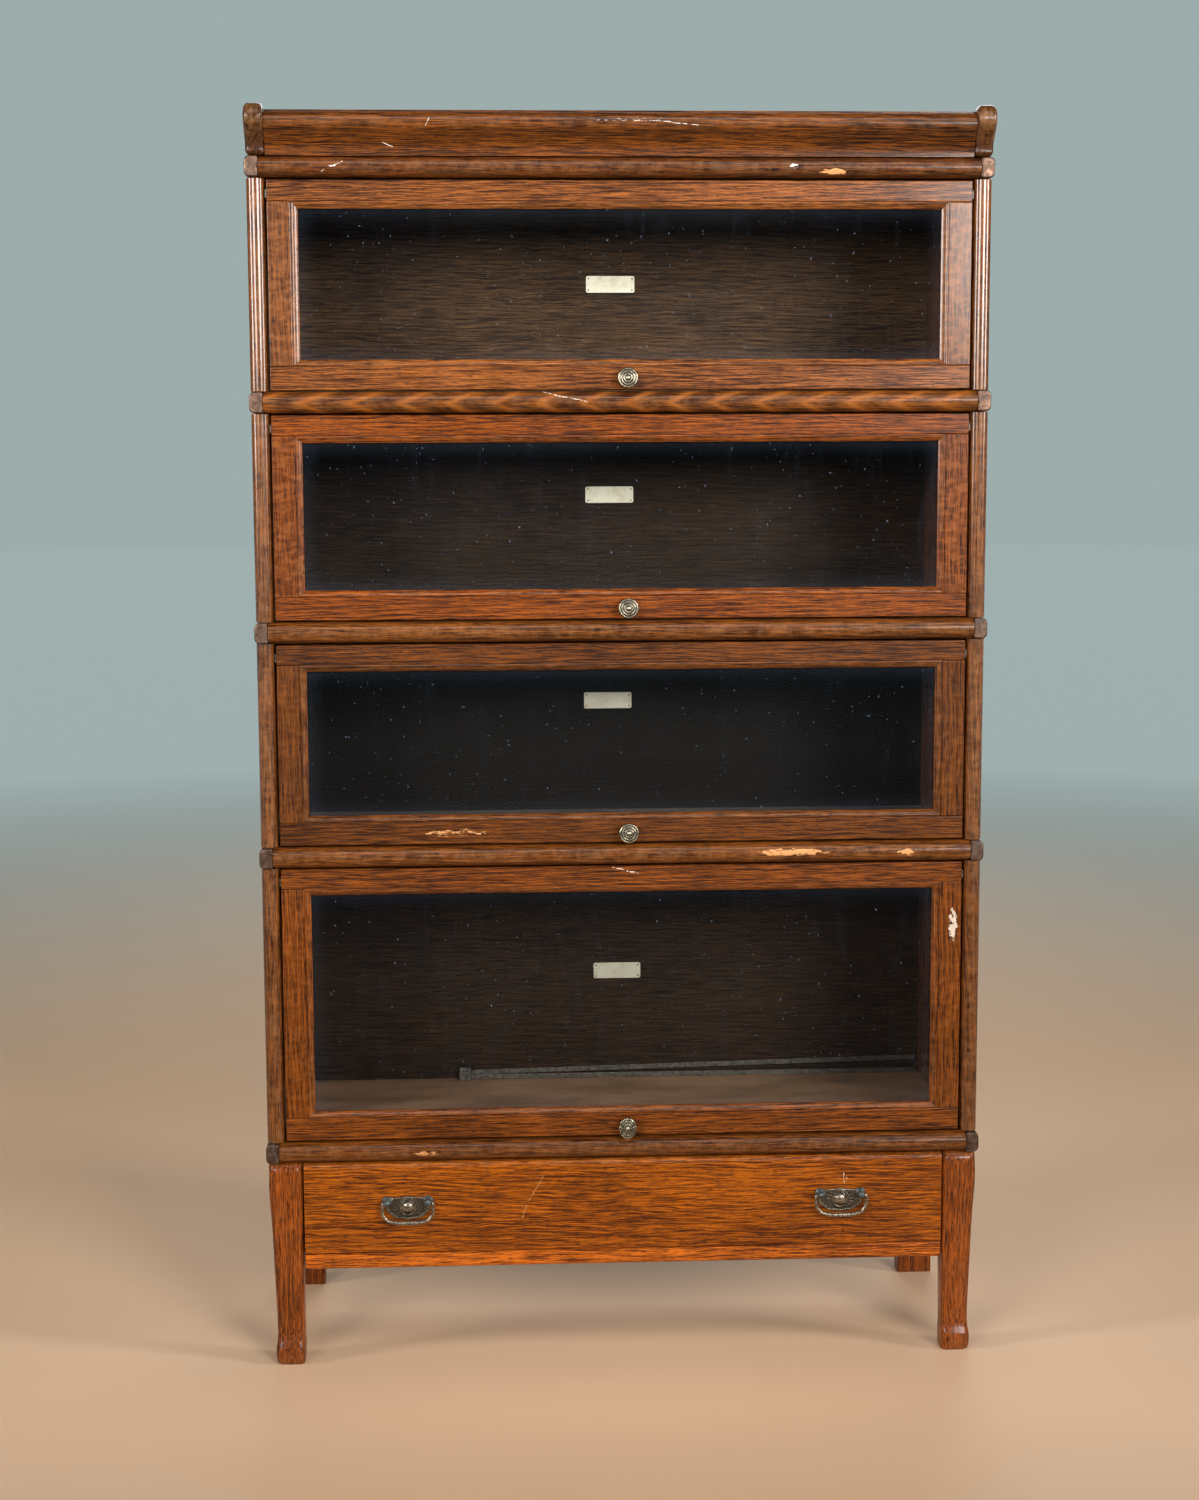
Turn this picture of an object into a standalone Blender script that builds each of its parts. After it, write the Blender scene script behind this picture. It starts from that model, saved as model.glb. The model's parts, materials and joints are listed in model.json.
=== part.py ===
"""Barrister bookcase: four stacked glazed sections on a drawer base, under a cornice.

Metres, +Z up, the front faces -Y.  The origin is on the floor, under the middle of the
bounding box.  Sections are numbered from the top.
"""
from math import asin, cos, pi, radians, sin

import bmesh
import bpy
from mathutils import Matrix, Vector

# ------------------------------------------------------------------ driving dimensions
CASE_WIDTH = 0.864            # over the side posts
CASE_DEPTH = 0.300            # from the front of the posts to the back edge
SIDE_THICK = 0.021
UPPER_SECTION_HEIGHT = 0.267  # sections 1 to 3
LOWER_SECTION_HEIGHT = 0.360  # section 4
UPPER_SECTIONS = 3
BASE_HEIGHT = 0.252

RAIL_HEIGHT = 0.025           # bullnose rail along the bottom of each section
RAIL_PROUD = 0.006            # how far the bullnose stands in front of the posts
RAIL_DEPTH = 0.024
FLOOR_THICK = 0.012
FLOOR_STEP = 0.0005           # floor below the top of the bullnose
BACK_THICK = 0.008
BACK_INSET = 0.008            # back panel in from the back edge of the sides
BAND_WIDTH = 0.0155           # metal band along the side at each joint
BAND_RADIUS = 0.0065
BAND_PROUD = 0.001            # band in front of the outer face of the side

CORNICE_RAIL_HEIGHT = 0.024
MOULDING_HEIGHT = 0.051
MOULDING_PROUD = 0.016
MOULDING_THICK = 0.022        # solid part behind the cove
CUSHION_RADIUS = 0.0125
CUSHION_DROP = 0.002          # top of the cushion below the top board
COVE_FOOT = 0.003             # plain edge under the cove
TOP_THICK = 0.014
BRACKET_WIDTH = 0.022
BRACKET_PROUD = 0.024
BRACKET_NOSE = 0.016          # radius of the scroll
BRACKET_RISE = 0.0065         # scroll above the moulding
BRACKET_SHOULDER = 0.012      # from the scroll down to the top board
BRACKET_NECK = 0.002          # neck behind the bullnose
BRACKET_INSET = 0.0015        # bracket face in from the case width
BRACKET_KEY = 0.004           # band let into the foot of the bracket
CLEAT_MARGIN = 0.012          # cleat in front of the rear pivot

DOOR_THICK = 0.019
DOOR_RECESS = 0.004           # door face behind the front of the posts
DOOR_SIDE_GAP = 0.002
DOOR_TOP_GAP = 0.002
DOOR_FOOT_GAP = 0.0015
STILE_WIDTH = 0.027
TOP_MEMBER = 0.024
BOTTOM_MEMBER = 0.027
BEAD_WIDTH = 0.008            # moulded bead around the glass
BEAD_DROP = 0.0045
BEAD_LIP = 0.003
GLASS_BITE = 0.0045           # glass hidden behind the bead
GLASS_THICK = 0.003
ARRIS = 0.002                 # eased front edges of the door

PIN_RADIUS = 0.003
PIN_DROP = 0.014              # pin axis below the top of the door
PIN_SETBACK = 0.008           # pin axis behind the face of the door
PIN_BITE = 0.010              # pin inside the door
GROOVE_DEPTH = 0.006
GROOVE_PLAY = 0.0005
UPPER_TRAVEL = 0.175
LOWER_TRAVEL = 0.215
HANGER_THICK = 0.001
BAR_THICK = 0.0014
BAR_DEPTH = 0.012
BAR_LIFT = 0.0006             # bar above the section joint
BAR_BEHIND_DOOR = 0.005

ARM_LENGTH = 0.600            # pivot to far end
ARM_WIDTH = 0.014
ARM_THICK = 0.0015
ARM_SPACE = 0.0010            # between stacked straps
REAR_PIVOT_INSET = 0.0300     # rear pivot in front of the back panel
PIVOT_BITE = 0.006            # rear pivot pin inside the board above it
STUD_RADIUS = 0.002
STUD_HOLE = 0.0024
RIVET_HOLE = 0.0036

KNOB_RADIUS = 0.012
KNOB_LENGTH = 0.020
KNOB_HEIGHT = 0.013           # knob centre above the bottom of the door
KNOB_OFFSET = 0.0055
LOWER_KNOB_OFFSET = 0.003

LEG_TOP_WIDTH = 0.041
LEG_TAPER_SHARE = 0.2         # share of the taper on the inner side
LEG_FOOT_WIDTH = 0.034
LEG_DEPTH = 0.040
LEG_INSET = 0.002
BACK_LEG_WIDTH = 0.045
BACK_LEG_DEPTH = 0.028
APRON_HEIGHT = 0.0195
APRON_CLEAR = 0.118           # floor to apron
APRON_THICK = 0.020
APRON_SETBACK = 0.002
BASE_RAIL_THICK = 0.018
RUNNER_WIDTH = 0.018
RUNNER_THICK = 0.012

DRAWER_GAP = 0.0010
DRAWER_FRONT_THICK = 0.019
DRAWER_PROUD = 0.001          # drawer face in front of the posts
DRAWER_TOP_ROUND = 0.007
DRAWER_TOP_GAP = 0.0015
BOX_WALL = 0.010
BOX_BOTTOM = 0.006
BOX_LIP_DROP = 0.016          # box rim below the top of the drawer front
BOX_BACK_GAP = 0.012

HANDLE_SPREAD = 0.263         # handle centre from the middle
HANDLE_LEVEL = 0.203          # bail pivot above the floor
POST_SPREAD = 0.0245
POST_RADIUS = 0.0036
POST_LENGTH = 0.014
PLATE_THICK = 0.0016
PLATE_ABOVE = 0.006           # handle plate above and below the bail's pivot
PLATE_BELOW = 0.021
PLATE_CORNER = 0.006
BAIL_REACH = 0.0315
BAIL_DROP = 0.0255
BAIL_RADIUS = 0.0021
BAIL_STANDOFF = 0.0100
BAIL_END_GAP = 0.0016

BLOCK_WIDTH = 0.015           # block on the loose equaliser
UPPER_STRAP_SHARE = 0.30      # height on the block where the upper strap starts
BLOCK_DEPTH = 0.012
BLOCK_HEIGHT = 0.017
LOOSE_START = -0.203
LOOSE_STRAP_HEIGHT = 0.0065
LOOSE_STRAP_THICK = 0.002
LOOSE_RISE = 0.0165           # upper strap's far end above the lower one
LOOSE_END_GAP = 0.003

GAP = 0.0003                  # between pieces that touch

# ------------------------------------------------------------------ places worked out
HALF_WIDTH = CASE_WIDTH / 2
INNER_HALF = HALF_WIDTH - BAND_PROUD - SIDE_THICK
BAND_INNER = HALF_WIDTH - BAND_WIDTH
SIDE_OUTER = HALF_WIDTH - BAND_PROUD
FRONT_PROUD = max(BRACKET_PROUD, MOULDING_PROUD, RAIL_PROUD)
POST_FRONT = (FRONT_PROUD - CASE_DEPTH) / 2
CASE_BACK = POST_FRONT + CASE_DEPTH
RAIL_FRONT = POST_FRONT - RAIL_PROUD
RAIL_BACK = RAIL_FRONT + RAIL_DEPTH
PANEL_BACK = CASE_BACK - BACK_INSET
PANEL_FRONT = PANEL_BACK - BACK_THICK
DOOR_FRONT = POST_FRONT + DOOR_RECESS
DOOR_BACK = DOOR_FRONT + DOOR_THICK
DOOR_HALF = INNER_HALF - DOOR_SIDE_GAP
PIN_Y = DOOR_FRONT + PIN_SETBACK
GROOVE_HALF = PIN_RADIUS + GROOVE_PLAY
BAR_FRONT = DOOR_BACK + BAR_BEHIND_DOOR
ARM_PIVOT_Y = BAR_FRONT + BAR_DEPTH / 2
REAR_PIVOT_Y = PANEL_FRONT - REAR_PIVOT_INSET
ARM_SPAN = REAR_PIVOT_Y - ARM_PIVOT_Y
ARM_ANGLE = asin(ARM_SPAN / ARM_LENGTH)
ARM_PIVOT_X = -ARM_LENGTH / 2
BACK_LEG_FRONT = CASE_BACK - BACK_LEG_DEPTH
BASE_RAIL_FRONT = BACK_LEG_FRONT - GAP - BASE_RAIL_THICK
DRAWER_HALF = HALF_WIDTH - LEG_INSET - LEG_TOP_WIDTH - DRAWER_GAP
DRAWER_FACE = POST_FRONT - DRAWER_PROUD
DRAWER_BOTTOM = APRON_CLEAR + APRON_HEIGHT + DRAWER_GAP
CASE_TOP = BASE_HEIGHT + LOWER_SECTION_HEIGHT + UPPER_SECTIONS * UPPER_SECTION_HEIGHT
MOULDING_FOOT = CASE_TOP + CORNICE_RAIL_HEIGHT
MOULDING_TOP = MOULDING_FOOT + MOULDING_HEIGHT

ARC_STEPS = 8                 # faces in a half circle
ROUND_SIDES = 20


# ------------------------------------------------------------------ finishes
def finish(name, colour, roughness, metallic=0.0):
    """A Principled material with one colour."""
    made = bpy.data.materials.new(name)
    made.use_nodes = True
    shader = made.node_tree.nodes["Principled BSDF"]
    shader.inputs["Base Color"].default_value = (*colour, 1.0)
    shader.inputs["Roughness"].default_value = roughness
    shader.inputs["Metallic"].default_value = metallic
    made.diffuse_color = (*colour, 1.0)
    return made


def finishes():
    return {
        "oak_case": finish("oak_case", (0.115, 0.045, 0.018), 0.35),
        "oak_door": finish("oak_door", (0.170, 0.065, 0.022), 0.35),
        "oak_drawer": finish("oak_drawer", (0.230, 0.090, 0.030), 0.38),
        "oak_inside": finish("oak_inside", (0.075, 0.035, 0.020), 0.55),
        "glass": finish("glass", (0.80, 0.85, 0.85), 0.05),
        "nickel": finish("nickel", (0.560, 0.500, 0.400), 0.35, 1.0),
        "bronze": finish("bronze", (0.045, 0.045, 0.038), 0.50, 1.0),
        "steel": finish("steel", (0.330, 0.310, 0.280), 0.45, 1.0),
    }


# ------------------------------------------------------------------ making solids
def place_point(axis, along, a, b):
    """A point from its place along an axis and its two coordinates across it."""
    return {"x": (along, a, b), "y": (a, along, b), "z": (a, b, along)}[axis]


def add_prism(bm, outline, axis, start, end):
    """Add a closed outline, extruded along an axis."""
    foot = [bm.verts.new(place_point(axis, start, a, b)) for a, b in outline]
    head = [bm.verts.new(place_point(axis, end, a, b)) for a, b in outline]
    bm.faces.new(foot)
    bm.faces.new(reversed(head))
    for i in range(len(foot)):
        j = (i + 1) % len(foot)
        bm.faces.new((foot[j], foot[i], head[i], head[j]))


def add_box(bm, x, y, z):
    add_prism(bm, [(x[0], y[0]), (x[1], y[0]), (x[1], y[1]), (x[0], y[1])], "z", z[0], z[1])


def add_loft(bm, loops):
    """Add a closed body through loops of points, each as long as the last."""
    rings = [[bm.verts.new(p) for p in loop] for loop in loops]
    for low, high in zip(rings, rings[1:]):
        for i in range(len(low)):
            j = (i + 1) % len(low)
            bm.faces.new((low[i], low[j], high[j], high[i]))
    bm.faces.new(rings[0])
    bm.faces.new(rings[-1])


def add_turned(bm, profile, centre, axis, sides=ROUND_SIDES):
    """Add a turned body from (distance along the axis, radius) stations."""
    loops = []
    for along, radius in profile:
        ring = []
        for i in range(sides):
            turn = 2 * pi * i / sides
            offset = place_point(axis, along, radius * cos(turn), radius * sin(turn))
            ring.append(Vector(centre) + Vector(offset))
        loops.append(ring)
    add_loft(bm, loops)


def add_frame(bm, half, low, high, front, profile):
    """Add a mitred frame from (share, inward, back) points of its section.

    Share 0 is measured from the outer edge, and share 1 from the edge of the opening.
    """
    corners = [(-1, -1), (1, -1), (1, 1), (-1, 1)]
    loops = []
    for side, level in corners:
        loop = []
        for share, inward, back in profile:
            x = side * (half - share * STILE_WIDTH - inward)
            if level > 0:
                z = high - share * TOP_MEMBER - inward
            else:
                z = low + share * BOTTOM_MEMBER + inward
            loop.append(bm.verts.new((x, front + back, z)))
        loops.append(loop)
    for i in range(4):
        here, there = loops[i], loops[(i + 1) % 4]
        for k in range(len(profile)):
            m = (k + 1) % len(profile)
            bm.faces.new((here[k], here[m], there[m], there[k]))


def arc(centre, radius, start, end, steps=ARC_STEPS):
    """Points on an arc, angles in degrees."""
    points = []
    for i in range(steps + 1):
        turn = radians(start + (end - start) * i / steps)
        points.append((centre[0] + radius * cos(turn), centre[1] + radius * sin(turn)))
    return points


def new_object(name, bm, material, smooth=True):
    bmesh.ops.recalc_face_normals(bm, faces=bm.faces)
    mesh = bpy.data.meshes.new(name)
    bm.to_mesh(mesh)
    bm.free()
    mesh.materials.append(material)
    if smooth:
        mesh.shade_smooth()
        mesh.set_sharp_from_angle(angle=radians(35))
    made = bpy.data.objects.new(name, mesh)
    bpy.context.collection.objects.link(made)
    return made


def cut(target, name, bm, operation="DIFFERENCE"):
    """Cut a target with a hidden tool body, or join the tool to it."""
    tool = new_object(name, bm, target.data.materials[0], smooth=False)
    tool.hide_render = True
    tool.display_type = "WIRE"
    step = target.modifiers.new(name, "BOOLEAN")
    step.operation = operation
    step.solver = "EXACT"
    step.object = tool
    if target.parent:
        attach(tool, target.parent)


def axis_empty(name, place, parent=None):
    """An empty on a joint's axis, which its moving pieces hang from."""
    empty = bpy.data.objects.new(name, None)
    empty.empty_display_size = 0.03
    empty.location = place
    bpy.context.collection.objects.link(empty)
    if parent:
        attach(empty, parent)
    return empty


def world_place(thing):
    place = thing.location.copy()
    while thing.parent:
        place += thing.matrix_parent_inverse.translation + thing.parent.location
        thing = thing.parent
    return place


def attach(thing, parent):
    """Parent a thing to an empty and leave it where it is."""
    thing.parent = parent
    thing.matrix_parent_inverse = Matrix.Translation(-world_place(parent))


# ------------------------------------------------------------------ sections
def pivot_board_foot(joint):
    """Underside of the board over a section, from the level of the joint between them."""
    return joint + RAIL_HEIGHT - FLOOR_STEP - FLOOR_THICK


def band_edge(low, height):
    """Outer edge of the metal band along a side, from the bottom up: (x, z) points."""
    reach = HALF_WIDTH - BAND_RADIUS
    return (arc((reach, low + BAND_RADIUS), BAND_RADIUS, -90, 0, 4)
            + arc((reach, low + height - BAND_RADIUS), BAND_RADIUS, 0, 90, 4))


def mirrored(side, outline):
    return [(side * x, other) for x, other in outline]


def post_outline():
    """Plan of the front of a side board: its edge is a half round."""
    radius = SIDE_THICK / 2
    nose = arc((SIDE_OUTER - radius, POST_FRONT + radius), radius, 180, 360)
    back = RAIL_BACK + SIDE_THICK
    return nose + [(SIDE_OUTER, back), (INNER_HALF, back)]


def groove_outline(level, travel):
    front, back = PIN_Y, PIN_Y + travel
    return (arc((back, level), GROOVE_HALF, -90, 90) + arc((front, level), GROOVE_HALF, 90, 270))


def build_side(name, side, low, high, travel, material):
    """Side board with its front post, the band across its foot, and the pin groove."""
    top = high - GAP
    profile = ([(INNER_HALF, low)] + band_edge(low, RAIL_HEIGHT)
               + [(SIDE_OUTER, low + RAIL_HEIGHT), (SIDE_OUTER, top), (INNER_HALF, top)])
    bm = bmesh.new()
    add_prism(bm, mirrored(side, profile), "y", RAIL_BACK + GAP, CASE_BACK)
    board = new_object(name, bm, material)

    post = bmesh.new()
    add_prism(post, mirrored(side, post_outline()), "z", low + RAIL_HEIGHT, top)
    cut(board, name + "_post", post, "UNION")

    block = bmesh.new()
    outline = [(BAND_INNER, low)] + band_edge(low, RAIL_HEIGHT) + [(BAND_INNER, low + RAIL_HEIGHT)]
    add_prism(block, mirrored(side, outline), "y", RAIL_FRONT, RAIL_BACK + SIDE_THICK)
    cut(board, name + "_block", block, "UNION")

    groove = bmesh.new()
    level = high - DOOR_TOP_GAP - PIN_DROP
    ends = sorted((side * (INNER_HALF - SIDE_THICK), side * (INNER_HALF + GROOVE_DEPTH)))
    add_prism(groove, groove_outline(level, travel), "x", *ends)
    cut(board, name + "_groove", groove)


def bullnose_outline(low, height):
    """End view of a rail with a half-round front: (y, z) points."""
    radius = height / 2
    nose = arc((RAIL_FRONT + radius, low + radius), radius, 90, 270)
    return nose + [(RAIL_BACK, low), (RAIL_BACK, low + height)]


def build_section(number, low, high, travel, mats):
    label = f"section_{number}"
    build_side(label + "_side_left", -1, low, high, travel, mats["oak_case"])
    build_side(label + "_side_right", 1, low, high, travel, mats["oak_case"])

    floor_foot = pivot_board_foot(low)
    bm = bmesh.new()
    add_box(bm, (GAP - INNER_HALF, INNER_HALF - GAP), (RAIL_BACK + GAP, PANEL_FRONT - GAP),
            (floor_foot, floor_foot + FLOOR_THICK))
    floor = new_object(label + "_floor", bm, mats["oak_inside"], smooth=False)
    if number < UPPER_SECTIONS:
        bore_rear_pivot(floor, floor_foot)

    bm = bmesh.new()
    add_box(bm, (GAP - INNER_HALF, INNER_HALF - GAP), (PANEL_FRONT, PANEL_BACK),
            (low, high - GAP))
    new_object(label + "_back_panel", bm, mats["oak_inside"], smooth=False)

    bm = bmesh.new()
    add_prism(bm, bullnose_outline(low, RAIL_HEIGHT - GAP), "x", GAP - BAND_INNER, BAND_INNER - GAP)
    new_object(label + "_front_rail", bm, mats["oak_case"])


# ------------------------------------------------------------------ doors
def frame_section():
    """Section of the door frame and its bead, as add_frame takes it."""
    lip_back = BEAD_DROP + BEAD_LIP
    rabbet = BEAD_WIDTH - GLASS_BITE
    return [(0, 0, DOOR_THICK), (0, 0, ARRIS), (0, ARRIS, 0), (1, 0, 0),
            (1, BEAD_WIDTH * 0.45, BEAD_DROP * 0.3), (1, BEAD_WIDTH, BEAD_DROP),
            (1, BEAD_WIDTH, lip_back), (1, rabbet, lip_back), (1, rabbet, DOOR_THICK)]


def knob_profile():
    """Turned knob: stations from the door outwards, with stepped rings on its face."""
    r, n = KNOB_RADIUS, KNOB_LENGTH
    return [(0, r * 0.62), (n * 0.10, r * 0.62), (n * 0.16, r * 0.36), (n * 0.50, r * 0.33),
            (n * 0.60, r * 0.80), (n * 0.68, r), (n * 0.82, r), (n * 0.90, r * 0.84),
            (n * 0.88, r * 0.62), (n * 0.97, r * 0.50), (n * 0.96, r * 0.26), (n, r * 0.18)]


def build_knob(number, low, offset, parent, mats):
    """Turned knob; the lowest door has a taller oval one."""
    bm = bmesh.new()
    profile = [(-along, radius) for along, radius in knob_profile()]
    centre = Vector((offset, DOOR_FRONT - GAP, low + DOOR_FOOT_GAP + KNOB_HEIGHT))
    add_turned(bm, profile, centre, "y")
    oval = 1.12 if number > UPPER_SECTIONS else 1.0
    for vert in bm.verts:
        vert.co.z = centre.z + (vert.co.z - centre.z) * oval
        vert.co.x = centre.x + (vert.co.x - centre.x) / oval
    knob = new_object(f"door_{number}_knob", bm, mats["nickel"])
    attach(knob, parent)


def build_door(number, low, high, parent, mats):
    """Frame with its bead, bored for the pins, and the glass behind the bead."""
    foot, head = low + RAIL_HEIGHT + DOOR_FOOT_GAP, high - DOOR_TOP_GAP

    bm = bmesh.new()
    add_frame(bm, DOOR_HALF, foot, head, DOOR_FRONT, frame_section())
    frame = new_object(f"door_{number}_frame", bm, mats["oak_door"])
    attach(frame, parent)

    for side, word in ((-1, "left"), (1, "right")):
        bore = bmesh.new()
        bore_length = PIN_BITE + GAP
        centre = (side * (DOOR_HALF - bore_length), PIN_Y, head - PIN_DROP)
        radius = PIN_RADIUS + GAP
        stations = [(0, radius), (side * (bore_length + DOOR_SIDE_GAP / 2), radius)]
        add_turned(bore, stations, centre, "x")
        cut(frame, f"door_{number}_bore_{word}", bore)

    bm = bmesh.new()
    reach = BEAD_WIDTH - GLASS_BITE + GAP
    glass_front = DOOR_FRONT + BEAD_DROP + BEAD_LIP + GAP
    glass_half = DOOR_HALF - STILE_WIDTH - reach
    add_box(bm, (-glass_half, glass_half), (glass_front, glass_front + GLASS_THICK),
            (foot + BOTTOM_MEMBER + reach, head - TOP_MEMBER - reach))
    glass = new_object(f"door_{number}_glass", bm, mats["glass"], smooth=False)
    attach(glass, parent)


def build_hanger(number, high, parent, mats):
    """Pins that run in the side grooves, their side plates, and the bar that joins them."""
    pin_level = high - DOOR_TOP_GAP - PIN_DROP
    bar_foot, bar_top = high + BAR_LIFT, high + BAR_LIFT + BAR_THICK
    bar_back = BAR_FRONT + BAR_DEPTH
    plate_inner = DOOR_HALF + (DOOR_SIDE_GAP - HANGER_THICK) / 2
    plate_outer = plate_inner + HANGER_THICK

    bm = bmesh.new()
    add_box(bm, (-plate_outer, plate_outer), (BAR_FRONT, bar_back), (bar_foot, bar_top))
    hanger = new_object(f"door_{number}_hanger", bm, mats["steel"])
    attach(hanger, parent)

    plate_low = pin_level - 2 * PIN_RADIUS
    plate_front = PIN_Y - 2 * PIN_RADIUS
    shoulder = high - BAR_LIFT
    outline = [(plate_front, plate_low), (bar_back, plate_low), (bar_back, bar_top),
               (BAR_FRONT, bar_top), (BAR_FRONT, shoulder), (plate_front, pin_level + PIN_RADIUS)]
    for side, word in ((-1, "left"), (1, "right")):
        plate = bmesh.new()
        add_prism(plate, outline, "x", *sorted((side * plate_inner, side * plate_outer)))
        cut(hanger, f"door_{number}_plate_{word}", plate, "UNION")
        pin = bmesh.new()
        start = side * (DOOR_HALF - PIN_BITE)
        reach = PIN_BITE + DOOR_SIDE_GAP + GROOVE_DEPTH - 2 * GAP
        stations = [(0, PIN_RADIUS), (side * reach, PIN_RADIUS)]
        add_turned(pin, stations, (start, PIN_Y, pin_level), "x")
        cut(hanger, f"door_{number}_pin_{word}", pin, "UNION")

    if number <= UPPER_SECTIONS:
        stud = bmesh.new()
        stud_top = 2 * ARM_SPACE + 2 * ARM_THICK
        add_turned(stud, [(-BAR_THICK / 2, STUD_RADIUS), (stud_top, STUD_RADIUS)],
                   (ARM_PIVOT_X, ARM_PIVOT_Y, bar_top), "z", 12)
        cut(hanger, f"door_{number}_stud", stud, "UNION")


# ------------------------------------------------------------------ equalisers
def strap_outline(start, turn):
    """Plan of a strap with round ends, from its pivot along a direction in radians."""
    radius = ARM_WIDTH / 2
    far = (start[0] + ARM_LENGTH * cos(turn), start[1] + ARM_LENGTH * sin(turn))
    lean = turn * 180 / pi
    return arc(start, radius, lean + 90, lean + 270) + arc(far, radius, lean - 90, lean + 90)


def build_arm(name, pivot, turn, foot, parent, mats):
    """A bare strap of a scissor equaliser."""
    bm = bmesh.new()
    add_prism(bm, strap_outline(pivot, turn), "z", foot, foot + ARM_THICK)
    arm = new_object(name, bm, mats["steel"])
    attach(arm, parent)
    return arm


def arm_middle(pivot, turn, level):
    half = ARM_LENGTH / 2
    return (pivot[0] + half * cos(turn), pivot[1] + half * sin(turn), level)


def add_post(bm, place, low, high, radius):
    """Add a round post between two heights above a place."""
    add_turned(bm, [(low, radius), (high, radius)], place, "z", 12)


def build_equaliser(number, high, carriage, mats):
    """Two crossed straps that keep the door square as it slides back."""
    low_strap = high + BAR_LIFT + BAR_THICK + ARM_SPACE
    high_strap = low_strap + ARM_THICK + ARM_SPACE
    front_pivot, rear_pivot = (ARM_PIVOT_X, ARM_PIVOT_Y), (ARM_PIVOT_X, REAR_PIVOT_Y)
    front_axis = axis_empty(f"equaliser_{number}_front_axis", (*front_pivot, low_strap), carriage)
    rear_axis = axis_empty(f"equaliser_{number}_rear_axis", (*rear_pivot, high_strap))
    name = f"equaliser_{number}_arm_"
    front = build_arm(name + "front", front_pivot, ARM_ANGLE, low_strap, front_axis, mats)
    rear = build_arm(name + "back", rear_pivot, -ARM_ANGLE, high_strap, rear_axis, mats)

    bore, rivet, slot, pin = [bmesh.new() for _ in range(4)]
    past = 2 * ARM_THICK
    add_post(bore, (*front_pivot, low_strap), -past, past, STUD_HOLE)
    cut(front, name + "front_bore", bore)
    middle = arm_middle(front_pivot, ARM_ANGLE, low_strap)
    add_post(rivet, middle, ARM_THICK / 2, 2 * ARM_THICK + 2 * ARM_SPACE, STUD_RADIUS)
    cut(front, name + "front_rivet", rivet, "UNION")
    middle = arm_middle(rear_pivot, -ARM_ANGLE, high_strap)
    add_post(slot, middle, -past, past, RIVET_HOLE)
    cut(rear, name + "back_slot", slot)
    pin_top = pivot_board_foot(high) + PIVOT_BITE - high_strap
    add_post(pin, (*rear_pivot, high_strap), ARM_THICK / 2, pin_top - GAP, STUD_RADIUS)
    cut(rear, name + "back_pin", pin, "UNION")


def bore_rear_pivot(board, under):
    """A blind bore in the underside of a board, for the rear pivot of an equaliser."""
    bore = bmesh.new()
    add_post(bore, (ARM_PIVOT_X, REAR_PIVOT_Y, under), -PIVOT_BITE, PIVOT_BITE, STUD_HOLE)
    cut(board, board.name + "_pivot_bore", bore)


def build_loose_equaliser(floor_top, mats):
    """A folded equaliser that lies on the lowest floor, against the back panel."""
    back = PANEL_FRONT - GAP
    rest = floor_top + GAP
    far = INNER_HALF - LOOSE_END_GAP
    block_end = LOOSE_START + BLOCK_WIDTH
    bm = bmesh.new()
    add_box(bm, (LOOSE_START, block_end), (back - BLOCK_DEPTH, back), (rest, rest + BLOCK_HEIGHT))
    body = new_object("loose_equaliser", bm, mats["steel"])
    straps = (("upper", UPPER_STRAP_SHARE, LOOSE_RISE, 0),
              ("lower", 0.0, 0.0, 2 * LOOSE_STRAP_THICK))
    for word, lift, rise, forward in straps:
        start = rest + BLOCK_HEIGHT * lift
        end = rest + rise
        strap_back = back - LOOSE_STRAP_THICK - forward
        outline = [(block_end - BLOCK_WIDTH / 2, start), (far, end),
                   (far, end + LOOSE_STRAP_HEIGHT),
                   (block_end - BLOCK_WIDTH / 2, start + LOOSE_STRAP_HEIGHT)]
        strap = bmesh.new()
        add_prism(strap, outline, "y", strap_back - LOOSE_STRAP_THICK, strap_back)
        cut(body, "loose_equaliser_" + word, strap, "UNION")


# ------------------------------------------------------------------ cornice
def moulding_outline():
    """End view of the cornice moulding: a cushion that runs down into a cove: (y, z) points."""
    top, foot = MOULDING_TOP, MOULDING_FOOT + GAP
    front, back = POST_FRONT - MOULDING_PROUD, POST_FRONT + MOULDING_THICK
    centre = (front + CUSHION_RADIUS, top - CUSHION_DROP - CUSHION_RADIUS)
    cushion = arc(centre, CUSHION_RADIUS, 90, 225, 10)
    start_y, start_z = cushion[-1]
    cove = []
    for i in range(1, ARC_STEPS + 1):
        share = i / ARC_STEPS
        depth = (POST_FRONT - start_y) * (1 - (1 - share) ** 2)
        cove.append((start_y + depth, start_z + (foot + COVE_FOOT - start_z) * share))
    return [(centre[0], top)] + cushion + cove + [(POST_FRONT, foot), (back, foot), (back, top)]


def bracket_outline():
    """Side view of a cornice side: a scroll nose on a plain board: (y, z) points."""
    top, foot = MOULDING_TOP, MOULDING_FOOT + GAP
    nose_front = POST_FRONT - BRACKET_PROUD
    centre = (nose_front + BRACKET_NOSE, top + BRACKET_RISE - BRACKET_NOSE)
    nose = arc(centre, BRACKET_NOSE, 60, 225, 14)
    throat_y = RAIL_FRONT + BRACKET_NECK
    neck = [(throat_y, foot + BRACKET_SHOULDER), (throat_y, foot)]
    shoulder = [(centre[0] + BRACKET_NOSE + BRACKET_SHOULDER, top)]
    return shoulder + nose + neck + [(CASE_BACK, foot), (CASE_BACK, top)]


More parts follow.
